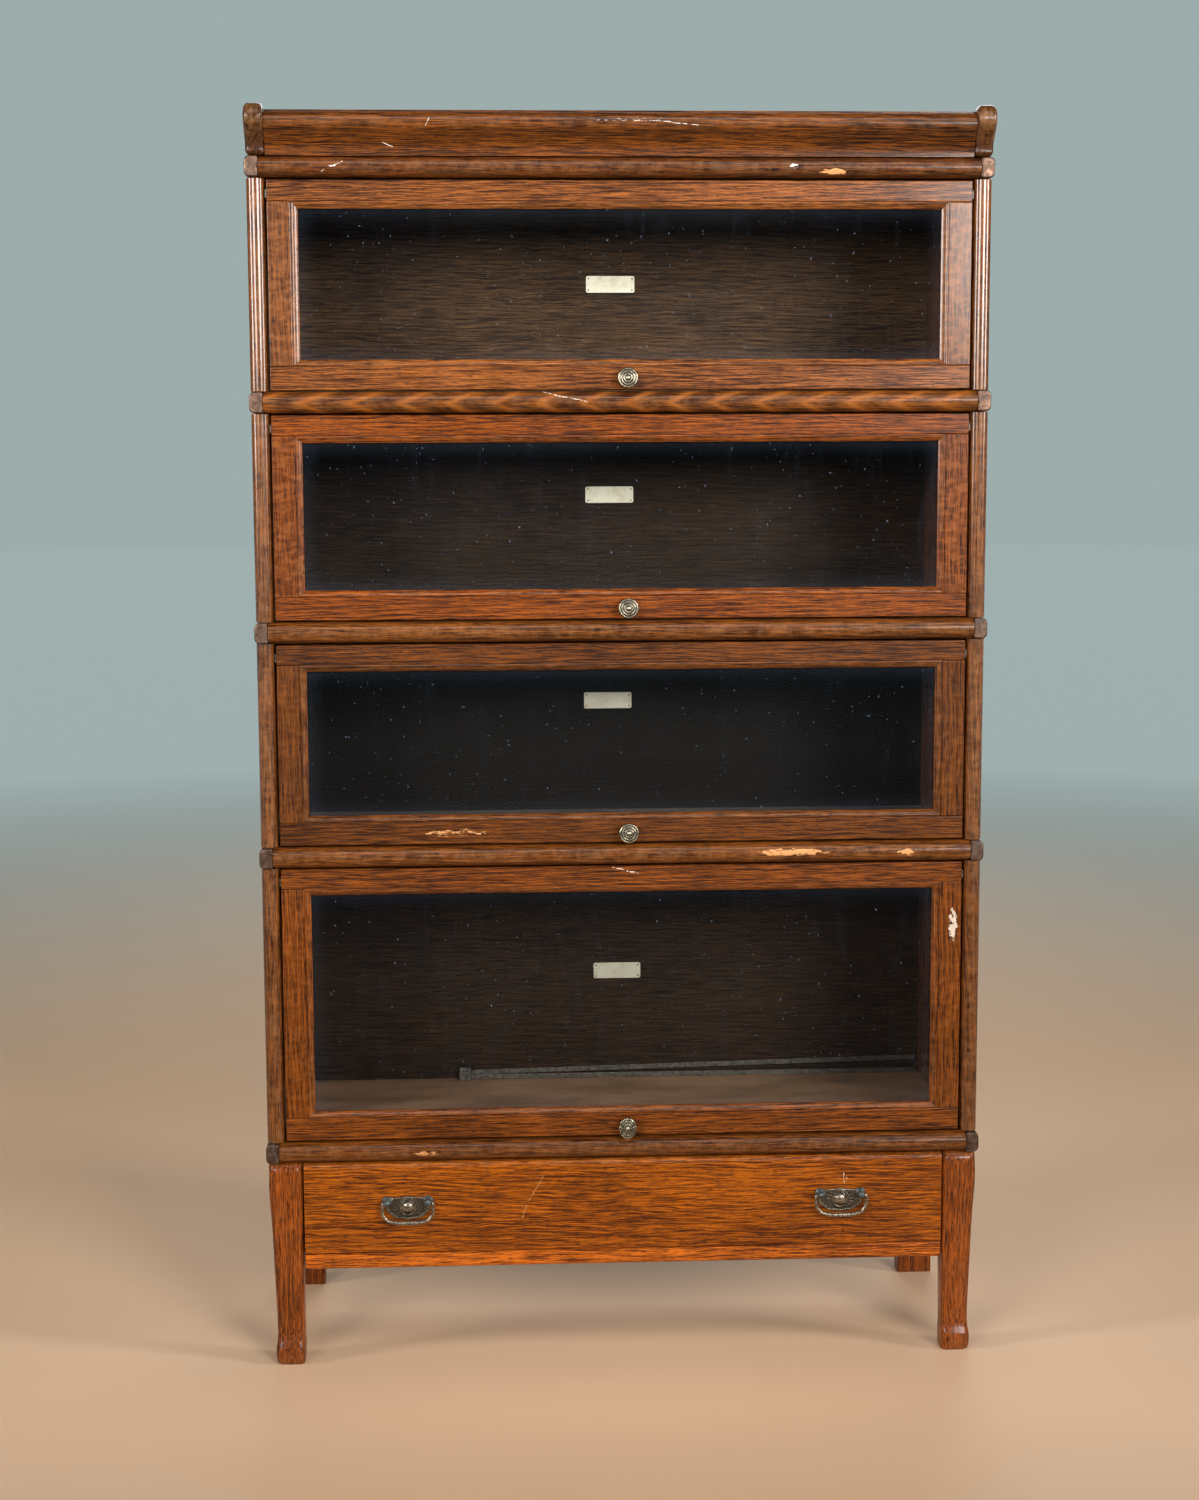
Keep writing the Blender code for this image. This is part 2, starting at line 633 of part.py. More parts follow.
def bracket_band_outline(outer):
    """End view of the band under a bracket, keyed into the bracket's foot: (x, z) points."""
    middle, key_top = outer - BRACKET_WIDTH / 2, MOULDING_FOOT + BRACKET_KEY
    edge = band_edge(CASE_TOP, CORNICE_RAIL_HEIGHT)
    key = [(middle, MOULDING_FOOT), (middle, key_top), (BAND_INNER, key_top)]
    return [(BAND_INNER, CASE_TOP)] + edge + key


def build_cornice(mats):
    bm = bmesh.new()
    add_prism(bm, bullnose_outline(CASE_TOP, CORNICE_RAIL_HEIGHT), "x", GAP - BAND_INNER,
              BAND_INNER - GAP)
    new_object("cornice_rail", bm, mats["oak_case"])

    outer = HALF_WIDTH - BRACKET_INSET
    inner = outer - BRACKET_WIDTH
    for side, word in ((-1, "left"), (1, "right")):
        bm = bmesh.new()
        add_prism(bm, bracket_outline(), "x", *sorted((side * inner, side * outer)))
        bracket = new_object("cornice_bracket_" + word, bm, mats["oak_case"])
        band = bmesh.new()
        add_prism(band, mirrored(side, bracket_band_outline(outer)), "y", RAIL_FRONT, CASE_BACK)
        cut(bracket, f"cornice_band_{word}", band, "UNION")

    bm = bmesh.new()
    add_prism(bm, moulding_outline(), "x", GAP - inner, inner - GAP)
    new_object("cornice_moulding", bm, mats["oak_case"])
    build_top_board(inner, mats["oak_case"])


def build_top_board(half, material):
    """The top, with its back edge and the cleat that holds section 1's rear pivot."""
    cleat_front, cleat_foot = REAR_PIVOT_Y - CLEAT_MARGIN, pivot_board_foot(CASE_TOP)
    shelf_front = POST_FRONT + MOULDING_THICK + GAP
    shelf_foot = MOULDING_TOP - TOP_THICK
    outline = [(shelf_front, shelf_foot), (cleat_front, shelf_foot),
               (cleat_front, cleat_foot), (PANEL_FRONT, cleat_foot),
               (PANEL_FRONT, CASE_TOP), (PANEL_BACK, CASE_TOP),
               (PANEL_BACK, MOULDING_TOP), (shelf_front, MOULDING_TOP)]
    bm = bmesh.new()
    add_prism(bm, outline, "x", GAP - half, half - GAP)
    board = new_object("top_board", bm, material, smooth=False)
    bore_rear_pivot(board, cleat_foot)


# ------------------------------------------------------------------ base
def leg_stations():
    """Front leg from the floor up: (level, width, front, depth, corner round)."""
    top = BASE_HEIGHT - GAP
    return [
        (0.000, LEG_FOOT_WIDTH - 0.004, -0.001, LEG_DEPTH - 0.010, 0.006),
        (0.004, LEG_FOOT_WIDTH, -0.004, LEG_DEPTH - 0.005, 0.007),
        (0.018, LEG_FOOT_WIDTH + 0.001, -0.005, LEG_DEPTH - 0.004, 0.007),
        (0.032, LEG_FOOT_WIDTH - 0.001, 0.000, LEG_DEPTH - 0.010, 0.006),
        (0.050, LEG_FOOT_WIDTH - 0.001, 0.003, LEG_DEPTH - 0.013, 0.005),
        (0.100, LEG_FOOT_WIDTH + 0.001, 0.003, LEG_DEPTH - 0.011, 0.005),
        (top - 0.080, LEG_TOP_WIDTH - 0.003, 0.001, LEG_DEPTH - 0.006, 0.005),
        (top - 0.040, LEG_TOP_WIDTH, -0.001, LEG_DEPTH, 0.006),
        (top - 0.014, LEG_TOP_WIDTH, -0.001, LEG_DEPTH, 0.008),
        (top - 0.004, LEG_TOP_WIDTH, 0.002, LEG_DEPTH - 0.003, 0.009),
        (top, LEG_TOP_WIDTH - 0.004, 0.007, LEG_DEPTH - 0.008, 0.009),
    ]


def rounded_plan(x, y, radius):
    """A rectangle with round corners, anticlockwise."""
    points = []
    for cx, cy, start in ((x[1] - radius, y[0] + radius, -90), (x[1] - radius, y[1] - radius, 0),
                          (x[0] + radius, y[1] - radius, 90), (x[0] + radius, y[0] + radius, 180)):
        points += arc((cx, cy), radius, start, start + 90, 3)
    return points


def build_front_leg(name, side, material):
    """The leg's inner face is straight; its outer face tapers in to the foot."""
    inner = HALF_WIDTH - LEG_INSET - LEG_TOP_WIDTH
    bm = bmesh.new()
    loops = []
    for level, width, front, depth, radius in leg_stations():
        step = (LEG_TOP_WIDTH - width) * LEG_TAPER_SHARE
        y0 = POST_FRONT + front
        plan = rounded_plan((inner + step, inner + step + width), (y0, y0 + depth), radius)
        loops.append([(side * x, y, level) for x, y in plan])
    add_loft(bm, loops)
    new_object(name, bm, material)


def build_base(mats):
    build_front_leg("front_leg_left", -1, mats["oak_case"])
    build_front_leg("front_leg_right", 1, mats["oak_case"])

    inner = HALF_WIDTH - LEG_INSET - LEG_TOP_WIDTH
    apron_front = POST_FRONT + APRON_SETBACK
    bm = bmesh.new()
    add_box(bm, (GAP - inner, inner - GAP), (apron_front, apron_front + APRON_THICK),
            (APRON_CLEAR, APRON_CLEAR + APRON_HEIGHT))
    new_object("base_apron", bm, mats["oak_drawer"], smooth=False)

    top = BASE_HEIGHT - GAP
    outer = HALF_WIDTH - LEG_INSET
    for side, word in ((-1, "left"), (1, "right")):
        bm = bmesh.new()
        add_box(bm, sorted((side * (outer - BACK_LEG_WIDTH), side * outer)),
                (BACK_LEG_FRONT, CASE_BACK), (0, top))
        new_object("back_leg_" + word, bm, mats["oak_case"], smooth=False)

    rail_front, rail_back = POST_FRONT + LEG_DEPTH + GAP, BACK_LEG_FRONT - GAP
    half = inner + BASE_RAIL_THICK
    bm = bmesh.new()
    add_box(bm, (-half, half), (BASE_RAIL_FRONT, rail_back), (APRON_CLEAR, top))
    frame = new_object("base_frame", bm, mats["oak_case"], smooth=False)
    ledge_top = DRAWER_BOTTOM + DRAWER_GAP
    outline = [(inner, ledge_top), (inner, top), (half, top), (half, APRON_CLEAR),
               (inner, APRON_CLEAR), (inner, ledge_top - RUNNER_THICK),
               (inner - RUNNER_WIDTH, ledge_top - RUNNER_THICK), (inner - RUNNER_WIDTH, ledge_top)]
    for side, word in ((-1, "left"), (1, "right")):
        rail = bmesh.new()
        add_prism(rail, mirrored(side, outline), "y", rail_front, rail_back)
        cut(frame, "base_rail_" + word, rail, "UNION")


def build_drawer(mats):
    """Drawer front and box, with the handles on the front, all on one slide."""
    top = BASE_HEIGHT - DRAWER_TOP_GAP
    front, back = DRAWER_FACE, DRAWER_FACE + DRAWER_FRONT_THICK
    slide = axis_empty("drawer_slide", (0, back, DRAWER_BOTTOM))
    eased = arc((front + DRAWER_TOP_ROUND, top - DRAWER_TOP_ROUND), DRAWER_TOP_ROUND, 90, 180, 5)
    outline = eased + [(front, DRAWER_BOTTOM + ARRIS), (front + ARRIS, DRAWER_BOTTOM),
                       (back, DRAWER_BOTTOM), (back, top)]
    bm = bmesh.new()
    add_prism(bm, outline, "x", -DRAWER_HALF, DRAWER_HALF)
    attach(new_object("drawer_front", bm, mats["oak_drawer"]), slide)

    box_low = DRAWER_BOTTOM + DRAWER_GAP + GAP
    box_top = top - BOX_LIP_DROP
    box_front = back + GAP
    box_back = BASE_RAIL_FRONT - BOX_BACK_GAP
    bm = bmesh.new()
    add_box(bm, (-DRAWER_HALF, DRAWER_HALF), (box_front, box_back), (box_low, box_top))
    box = new_object("drawer_box", bm, mats["oak_inside"], smooth=False)
    attach(box, slide)
    hollow = bmesh.new()
    hollow_half = DRAWER_HALF - BOX_WALL
    add_box(hollow, (-hollow_half, hollow_half), (box_front + BOX_WALL, box_back - BOX_WALL),
            (box_low + BOX_BOTTOM, top))
    cut(box, "drawer_hollow", hollow)
    build_handles(slide, mats)


def bail_path(centre, pivot_y):
    """Centre line of a bail that hangs from its two posts, as (x, y, z) points."""
    start = POST_SPREAD + POST_RADIUS + BAIL_END_GAP
    half = [(start, 0.0), (start + (BAIL_REACH - start) * 0.75, -0.0016)]
    for turn in (0, 20, 40, 60, 75, 90):
        lean = radians(turn)
        half.append((BAIL_REACH * cos(lean) ** 0.75, -0.006 - (BAIL_DROP - 0.006) * sin(lean)))
    points = half + [(-x, z) for x, z in reversed(half[:-1])]
    return [(centre + x, pivot_y, HANDLE_LEVEL + z) for x, z in points]


def tube(name, points, radius, material):
    """A round bar along points, with closed ends."""
    curve = bpy.data.curves.new(name, "CURVE")
    curve.dimensions = "3D"
    curve.bevel_depth = radius
    curve.bevel_resolution = 2
    curve.use_fill_caps = True
    spline = curve.splines.new("POLY")
    spline.points.add(len(points) - 1)
    for point, place in zip(spline.points, points):
        point.co = (*place, 1.0)
    curve.materials.append(material)
    made = bpy.data.objects.new(name, curve)
    bpy.context.collection.objects.link(made)
    return made


def build_handles(slide, mats):
    face = DRAWER_FACE - GAP
    pivot_y = face - BAIL_STANDOFF
    half = POST_SPREAD + 2 * POST_RADIUS
    stations = [(PLATE_THICK / 2, POST_RADIUS * 1.3), (0.004, POST_RADIUS),
                (POST_LENGTH - 0.002, POST_RADIUS), (POST_LENGTH, POST_RADIUS * 0.6)]
    for side, word in ((-1, "left"), (1, "right")):
        centre = side * HANDLE_SPREAD
        plan = rounded_plan((centre - half, centre + half),
                            (HANDLE_LEVEL - PLATE_BELOW, HANDLE_LEVEL + PLATE_ABOVE),
                            PLATE_CORNER)
        bm = bmesh.new()
        add_prism(bm, plan, "y", face - PLATE_THICK, face)
        plate = new_object("handle_plate_" + word, bm, mats["bronze"])
        attach(plate, slide)
        for end, place in ((-1, "inner"), (1, "outer")):
            post = bmesh.new()
            add_turned(post, [(-along, radius) for along, radius in stations],
                       (centre + end * side * POST_SPREAD, face, HANDLE_LEVEL), "y", 12)
            cut(plate, f"handle_post_{word}_{place}", post, "UNION")
        axis = axis_empty(f"bail_{word}_axis", (centre, pivot_y, HANDLE_LEVEL), slide)
        bail = tube(f"bail_{word}", bail_path(centre, pivot_y), BAIL_RADIUS, mats["bronze"])
        attach(bail, axis)


# ------------------------------------------------------------------ assembly
def clear_scene():
    for thing in list(bpy.data.objects):
        bpy.data.objects.remove(thing, do_unlink=True)


def section_levels():
    """Bottom and top of each section, from section 1 at the top."""
    levels = []
    top = CASE_TOP
    for _ in range(UPPER_SECTIONS):
        levels.append((top - UPPER_SECTION_HEIGHT, top))
        top -= UPPER_SECTION_HEIGHT
    levels.append((BASE_HEIGHT, top))
    return levels


def main():
    clear_scene()
    mats = finishes()
    levels = section_levels()
    for number, (low, high) in enumerate(levels, start=1):
        upper = number <= UPPER_SECTIONS
        travel = UPPER_TRAVEL if upper else LOWER_TRAVEL
        build_section(number, low, high, travel, mats)
        pin = (0, PIN_Y, high - DOOR_TOP_GAP - PIN_DROP)
        carriage = axis_empty(f"door_{number}_carriage", pin)
        hinge = axis_empty(f"door_{number}_hinge", pin, carriage)
        build_door(number, low, high, hinge, mats)
        offset = KNOB_OFFSET if upper else LOWER_KNOB_OFFSET
        build_knob(number, low + RAIL_HEIGHT, offset, hinge, mats)
        build_hanger(number, high, carriage, mats)
        if upper:
            build_equaliser(number, high, carriage, mats)
    build_loose_equaliser(BASE_HEIGHT + RAIL_HEIGHT - FLOOR_STEP, mats)
    build_cornice(mats)
    build_base(mats)
    build_drawer(mats)


main()
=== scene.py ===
import json
from math import atan2, cos, hypot, pi, radians, sin

import bmesh
import bpy
from mathutils import Matrix, Vector


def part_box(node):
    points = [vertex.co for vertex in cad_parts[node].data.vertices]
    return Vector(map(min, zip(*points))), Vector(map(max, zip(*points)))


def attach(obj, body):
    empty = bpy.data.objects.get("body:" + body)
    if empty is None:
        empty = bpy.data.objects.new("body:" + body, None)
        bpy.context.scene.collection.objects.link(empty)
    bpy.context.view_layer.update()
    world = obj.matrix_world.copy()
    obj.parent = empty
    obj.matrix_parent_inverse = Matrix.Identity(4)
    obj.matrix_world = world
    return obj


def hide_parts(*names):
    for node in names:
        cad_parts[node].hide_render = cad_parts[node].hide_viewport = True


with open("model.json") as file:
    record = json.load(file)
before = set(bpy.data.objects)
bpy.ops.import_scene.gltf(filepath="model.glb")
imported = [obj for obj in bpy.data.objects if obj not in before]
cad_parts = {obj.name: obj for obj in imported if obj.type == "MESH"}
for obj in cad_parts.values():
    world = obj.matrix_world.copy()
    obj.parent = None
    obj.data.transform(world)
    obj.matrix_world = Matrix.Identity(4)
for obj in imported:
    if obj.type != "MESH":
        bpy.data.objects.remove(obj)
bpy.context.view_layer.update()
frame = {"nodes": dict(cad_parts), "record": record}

# metres; the front faces -Y; sections are numbered from the top
sections = (1, 2, 3, 4)
lowest = 4
sides = {"left": -1, "right": 1}
hair = 0.0002  # between pieces that touch
joints = {joint["name"]: joint for joint in frame["record"]["behaviour"]["joints"]}


# node helpers
def addNode(tree, kind, inputs=None, **settings):
    made = tree.nodes.new(kind)
    for key, value in settings.items():
        setattr(made, key, value)
    for key, value in (inputs or {}).items():
        socket = made.inputs[key]
        if isinstance(value, bpy.types.NodeSocket):
            tree.links.new(value, socket)
        else:
            socket.default_value = value
    return made


def maths(tree, operation, a, b=0.0, clamp=False):
    made = addNode(tree, "ShaderNodeMath", {0: a, 1: b}, operation=operation, use_clamp=clamp)
    return made.outputs[0]


def product(tree, a, b):
    return maths(tree, "MULTIPLY", a, b)


def total(tree, *terms):
    value = terms[0]
    for term in terms[1:]:
        value = maths(tree, "ADD", value, term)
    return value


def blendColour(tree, factor, a, b, mode="MIX"):
    made = addNode(tree, "ShaderNodeMix", {0: factor, 6: a, 7: b}, data_type="RGBA", blend_type=mode)
    return made.outputs[2]


def remap(tree, value, fromLow, fromHigh, toLow=0.0, toHigh=1.0):
    made = addNode(tree, "ShaderNodeMapRange", {0: value, 1: fromLow, 2: fromHigh, 3: toLow, 4: toHigh})
    return made.outputs[0]


def objectPoint(tree):
    return addNode(tree, "ShaderNodeTexCoord").outputs["Object"]


def stretched(tree, point, scale, shift=(0, 0, 0)):
    made = addNode(tree, "ShaderNodeMapping", {"Vector": point, "Location": shift, "Scale": scale})
    return made.outputs[0]


def noise(tree, point, scale=1.0, detail=3.0, roughness=0.5, distortion=0.0):
    made = addNode(tree, "ShaderNodeTexNoise", {"Vector": point, "Scale": scale, "Detail": detail,
                                                "Roughness": roughness, "Distortion": distortion})
    return made.outputs["Fac"]


def stretchedNoise(tree, point, scale, shift=(0, 0, 0), **settings):
    return noise(tree, stretched(tree, point, scale, shift), **settings)


def apart(tree, vector):
    return addNode(tree, "ShaderNodeSeparateXYZ", {0: vector}).outputs


def together(tree, x=0.0, y=0.0, z=0.0):
    return addNode(tree, "ShaderNodeCombineXYZ", {0: x, 1: y, 2: z}).outputs[0]


def lengthOf(tree, vector):
    return addNode(tree, "ShaderNodeVectorMath", {0: vector}, operation="LENGTH").outputs["Value"]


def wearOf(tree):
    # how rubbed each point is, written by the mesh code on noses and edges; metal() also reads low values as
    # painted shade in hollows
    return addNode(tree, "ShaderNodeAttribute", attribute_name="wear").outputs["Fac"]


def rgba(colour):
    return (*colour, 1.0)


def newMaterial(name, **constants):
    # constants go straight on the shader's own sockets
    made = bpy.data.materials.new(name)
    made.use_nodes = True
    shader = made.node_tree.nodes["Principled BSDF"]
    for key, value in constants.items():
        shader.inputs[key.replace("_", " ")].default_value = value
    return made, made.node_tree, shader


def plug(tree, shader, **sources):
    for key, source in sources.items():
        tree.links.new(source, shader.inputs[key.replace("_", " ")])


def bumpFrom(tree, shader, height, distance, strength=1.0):
    bump = addNode(tree, "ShaderNodeBump", {"Height": height, "Distance": distance, "Strength": strength})
    plug(tree, shader, Normal=bump.outputs[0])


def rubbed(tree, amount, scale=70):
    patch = noise(tree, objectPoint(tree), scale, detail=5, roughness=0.7)
    return product(tree, wearOf(tree), remap(tree, patch, 0.42, 0.62, 0.0, amount))


oakLook = {
    # noise scales along the grain and across it
    "slow": (2.2, 9, 9), "ripple": (11, 40, 40), "clouds": (3.5, 11, 11), "streaks": (4, 120, 120),
    "lines": (24, 800, 800), "fibres": (34, 1300, 1300), "rays": (120, 55, 55),
    "pores": (1 / 0.009, 1 / 0.0009, 1 / 0.0009),
    "figureShift": (0.4, 0.1, 0.7), "grime": 9, "sheen": 22,
    # metres
    "ringSpacing": 0.0058, "taper": 0.030, "warp": 0.020, "shiver": 0.0045, "shake": 1.6, "relief": 0.00022,
    # how much each part of the figure darkens the wood
    "ringDepth": 0.24, "streakDepth": 0.30, "lineDepth": 1.15, "fibreDepth": 0.50,
    "poreInk": 0.72, "grimeInk": 0.5,
    "poreTint": (0.012, 0.005, 0.003), "bareWood": (0.50, 0.235, 0.095),
    "gloss": (0.26, 0.42), "dullPores": 0.25, "dullRub": 0.2, "dullMark": 0.25, "bump": 0.55,
    # figure like a row of arrowheads: slope, drift, and how pale and dark it is
    "arrowSlope": 2.4, "arrowDrift": 1.1, "arrowPale": (1.5, 0.60), "arrowDark": 0.5,
}


def scaled(colour, share):
    return [c * share for c in colour]


def grainPoint(tree, grain, pith):
    # turns the point so that x runs along the grain, and measures from the pith
    plain = apart(tree, objectPoint(tree))
    order = {"x": (0, 2, 1), "y": (1, 2, 0), "z": (2, 0, 1)}[grain]
    point = together(tree, *[plain[k] for k in order])
    return stretched(tree, point, (1, 1, 1), pith), plain


def growthRings(tree, axes, slow, ripple, wavy, spacing):
    # one in the early wood of each ring, nothing in the late wood
    radius = lengthOf(tree, together(tree, y=axes[1], z=axes[2]))
    reach = total(tree, radius, product(tree, axes[0], oakLook["taper"]),
                  product(tree, slow, oakLook["warp"] * wavy),
                  product(tree, ripple, oakLook["shiver"] * wavy))
    rings = maths(tree, "FRACT", maths(tree, "DIVIDE", reach, oakLook["ringSpacing"] * spacing))
    return maths(tree, "MAXIMUM", remap(tree, rings, 0.0, 0.6, 1.0, 0.0), remap(tree, rings, 0.88, 1.0))


def arrowheads(tree, colour, along, level, slow, dark, light, chevrons, chevronLevel):
    aside = maths(tree, "ABSOLUTE", maths(tree, "SUBTRACT", level, chevronLevel))
    ahead = total(tree, product(tree, along, 1 / chevrons),
                  product(tree, aside, -oakLook["arrowSlope"] / chevrons),
                  product(tree, slow, oakLook["arrowDrift"]))
    wave = maths(tree, "PINGPONG", ahead, 0.5)
    lift, pale = oakLook["arrowPale"]
    colour = blendColour(tree, remap(tree, wave, 0.28, 0.49, 0.0, pale), colour, rgba(scaled(light, lift)))
    return blendColour(tree, remap(tree, wave, 0.20, 0.0, 0.0, oakLook["arrowDark"]), colour, rgba(dark))


def oak(name, grain, dark, light, pith=(0, 0.13, 0.09), fleck=0.0, worn=0.15, polish=0.40, marks=(),
        contrast=1.0, wavy=1.0, spacing=1.0, chevrons=0.0, chevronLevel=0.0):
    # stained open-pore oak: rings round a pith, pores, fibres, ray fleck and rubbed edges
    made, tree, shader = newMaterial(name, Coat_Weight=polish, Coat_Roughness=0.16, Coat_IOR=1.45,
                                     Specular_IOR_Level=0.10)
    look = oakLook
    point, plain = grainPoint(tree, grain, pith)
    axes = apart(tree, point)
    slow = stretchedNoise(tree, point, look["slow"], detail=2)
    ripple = stretchedNoise(tree, point, look["ripple"], detail=2)
    early = growthRings(tree, axes, slow, ripple, wavy, spacing)

    pores = stretchedNoise(tree, point, look["pores"], detail=2, roughness=0.4)
    pores = product(tree, remap(tree, pores, 0.53, 0.62), remap(tree, early, 0.0, 0.8, 0.45, 1.0))
    sway = product(tree, ripple, look["shiver"] * wavy * look["shake"])
    shaken = together(tree, axes[0], total(tree, axes[1], sway), axes[2])
    fibres = stretchedNoise(tree, shaken, look["fibres"], detail=2, roughness=0.6)
    lines = stretchedNoise(tree, shaken, look["lines"], detail=3, roughness=0.65)
    streaks = stretchedNoise(tree, shaken, look["streaks"], detail=4, roughness=0.6)
    clouds = stretchedNoise(tree, point, look["clouds"], look["figureShift"], detail=3)
    streak, line = look["streakDepth"] * contrast / 2, look["lineDepth"] * contrast / 2
    figure = total(
        tree, product(tree, early, -look["ringDepth"] * contrast),
        remap(tree, streaks, 0.30, 0.70, -streak, streak),
        remap(tree, lines, 0.34, 0.66, -line, line),
        remap(tree, fibres, 0.25, 0.75, -look["fibreDepth"], look["fibreDepth"]),
    )
    tone = maths(tree, "ADD", figure, remap(tree, clouds, 0.30, 0.70, 0.38, 0.72), clamp=True)
    colour = blendColour(tree, tone, rgba(dark), rgba(light))
    colour = blendColour(tree, product(tree, pores, look["poreInk"]), colour, rgba(look["poreTint"]))

    if chevrons:
        colour = arrowheads(tree, colour, axes[0], plain[2], slow, dark, light, chevrons, chevronLevel)
    if fleck:
        rays = stretchedNoise(tree, point, look["rays"], look["figureShift"], detail=3, roughness=0.6)
        pale = blendColour(tree, 0.15, rgba(scaled(light, 1.15)), rgba(look["bareWood"]))
        colour = blendColour(tree, product(tree, remap(tree, rays, 0.46, 0.62), fleck), colour, pale)
    grime = noise(tree, objectPoint(tree), look["grime"], detail=6, roughness=0.7)
    grime = remap(tree, grime, 0.53, 0.72, 0.0, look["grimeInk"])
    colour = blendColour(tree, grime, colour, rgba(scaled(dark, 0.5)))
    rub = rubbed(tree, worn)
    colour = blendColour(tree, rub, colour, rgba(look["bareWood"]))
    gloss = remap(tree, noise(tree, point, look["sheen"], detail=4), 0.3, 0.7, *look["gloss"])
    gloss = total(tree, gloss, product(tree, pores, look["dullPores"]), product(tree, rub, look["dullRub"]))
    for mark in marks:
        inside, tint = mark(tree)
        colour = blendColour(tree, inside, colour, rgba(tint))
        gloss = maths(tree, "ADD", gloss, product(tree, inside, look["dullMark"]))
    plug(tree, shader, Base_Color=colour, Roughness=gloss)
    height = total(tree, product(tree, pores, -1.0), product(tree, early, -0.25), product(tree, fibres, 0.35))
    bumpFrom(tree, shader, height, look["relief"], look["bump"])
    return made


def chips(low, high, tint, density=0.5, scale=(90, 300, 300)):
    # ragged marks inside a box; oak() calls what this returns
    centre = [(a + b) / 2 for a, b in zip(low, high)]
    half = [(b - a) / 2 for a, b in zip(low, high)]

    def mark(tree):
        near = stretched(tree, objectPoint(tree), [1 / h for h in half],
                         [-c / h for c, h in zip(centre, half)])
        reach = lengthOf(tree, near)
        ragged = stretchedNoise(tree, objectPoint(tree), scale, detail=5, roughness=0.7)
        ragged = product(tree, ragged, remap(tree, reach, 0.30, 1.10, 1.0, 0.0))
        edge = 0.62 - 0.22 * density
        return remap(tree, ragged, edge * 0.90, edge * 0.98), tint
    return mark


def scratch(start, end, width, tint):
    # a broken line between two (x, z) points of the front
    run = (end[0] - start[0], end[1] - start[1])
    length = hypot(*run)
    ways = ((run[0] / length, run[1] / length), (-run[1] / length, run[0] / length))

    def mark(tree):
        plain = apart(tree, objectPoint(tree))
        x = maths(tree, "SUBTRACT", plain[0], start[0])
        z = maths(tree, "SUBTRACT", plain[2], start[1])
        along, aside = [total(tree, product(tree, x, a), product(tree, z, b)) for a, b in ways]
        shake = remap(tree, noise(tree, objectPoint(tree), 90, detail=2), 0.3, 0.7, -width, width)
        near = remap(tree, maths(tree, "ABSOLUTE", total(tree, aside, shake)), width * 0.4, width, 1.0, 0.0)
        ends = maths(tree, "ABSOLUTE", maths(tree, "SUBTRACT", along, length / 2))
        near = product(tree, near, remap(tree, ends, length * 0.42, length * 0.5, 1.0, 0.0))
        return product(tree, near, remap(tree, noise(tree, objectPoint(tree), 260), 0.42, 0.56)), tint
    return mark


metalLook = {"mottle": 2.2, "rub": 3, "dullCrust": 0.35, "brightRub": -0.12, "crustHeight": 0.8, "relief": 3,
             "bump": 0.6, "hollowShadeTint": 0.3}


def metal(name, dark, light, roughness, patina, patinaTint, scale=60, worn=0.6, bright=None, relief=0.0001,
          hollowShade=0.0):
    # worn metal under a patchy dull layer; where the wear attribute is low, painted shade can darken the
    # hollows
    made, tree, shader = newMaterial(name, Coat_Weight=0.0)
    look = metalLook
    point = objectPoint(tree)
    mottle = noise(tree, point, scale * look["mottle"], detail=6, roughness=0.7)
    colour = blendColour(tree, remap(tree, mottle, 0.32, 0.68), rgba(dark), rgba(light))
    crust = noise(tree, point, scale, detail=7, roughness=0.72)
    crust = remap(tree, crust, 0.62 - 0.25 * patina, 0.74 - 0.2 * patina)
    crust = product(tree, crust, min(1.0, 0.4 + patina))
    colour = blendColour(tree, crust, colour, rgba(patinaTint))
    # painted shade in grooves and hollows: darker where the wear attribute is low
    if hollowShade:
        paintedHollowShade = remap(tree, wearOf(tree), 0.15, 0.8, hollowShade, 0.0)
        colour = blendColour(tree, paintedHollowShade, colour, rgba(scaled(dark, look["hollowShadeTint"])))
    rub = rubbed(tree, worn, scale * look["rub"])
    colour = blendColour(tree, rub, colour, rgba(bright or light))
    rough = total(tree, remap(tree, mottle, 0.3, 0.7, roughness - 0.10, roughness + 0.12),
                  product(tree, crust, look["dullCrust"]), product(tree, rub, look["brightRub"]))
    shine = remap(tree, maths(tree, "SUBTRACT", crust, rub), 0.0, 0.9, 1.0, 0.25)
    plug(tree, shader, Base_Color=colour, Roughness=rough, Metallic=shine)
    height = total(tree, mottle, product(tree, crust, look["crustHeight"]))
    bumpFrom(tree, shader, height, relief * look["relief"], look["bump"])
    return made


insideLook = {
    "dark": (0.012, 0.006, 0.003), "light": (0.098, 0.050, 0.022), "dust": (0.20, 0.165, 0.135),
    "shadow": (0.002, 0.0012, 0.0008), "drift": (6, 14, 14), "specks": 420, "speckInk": 0.6,
}


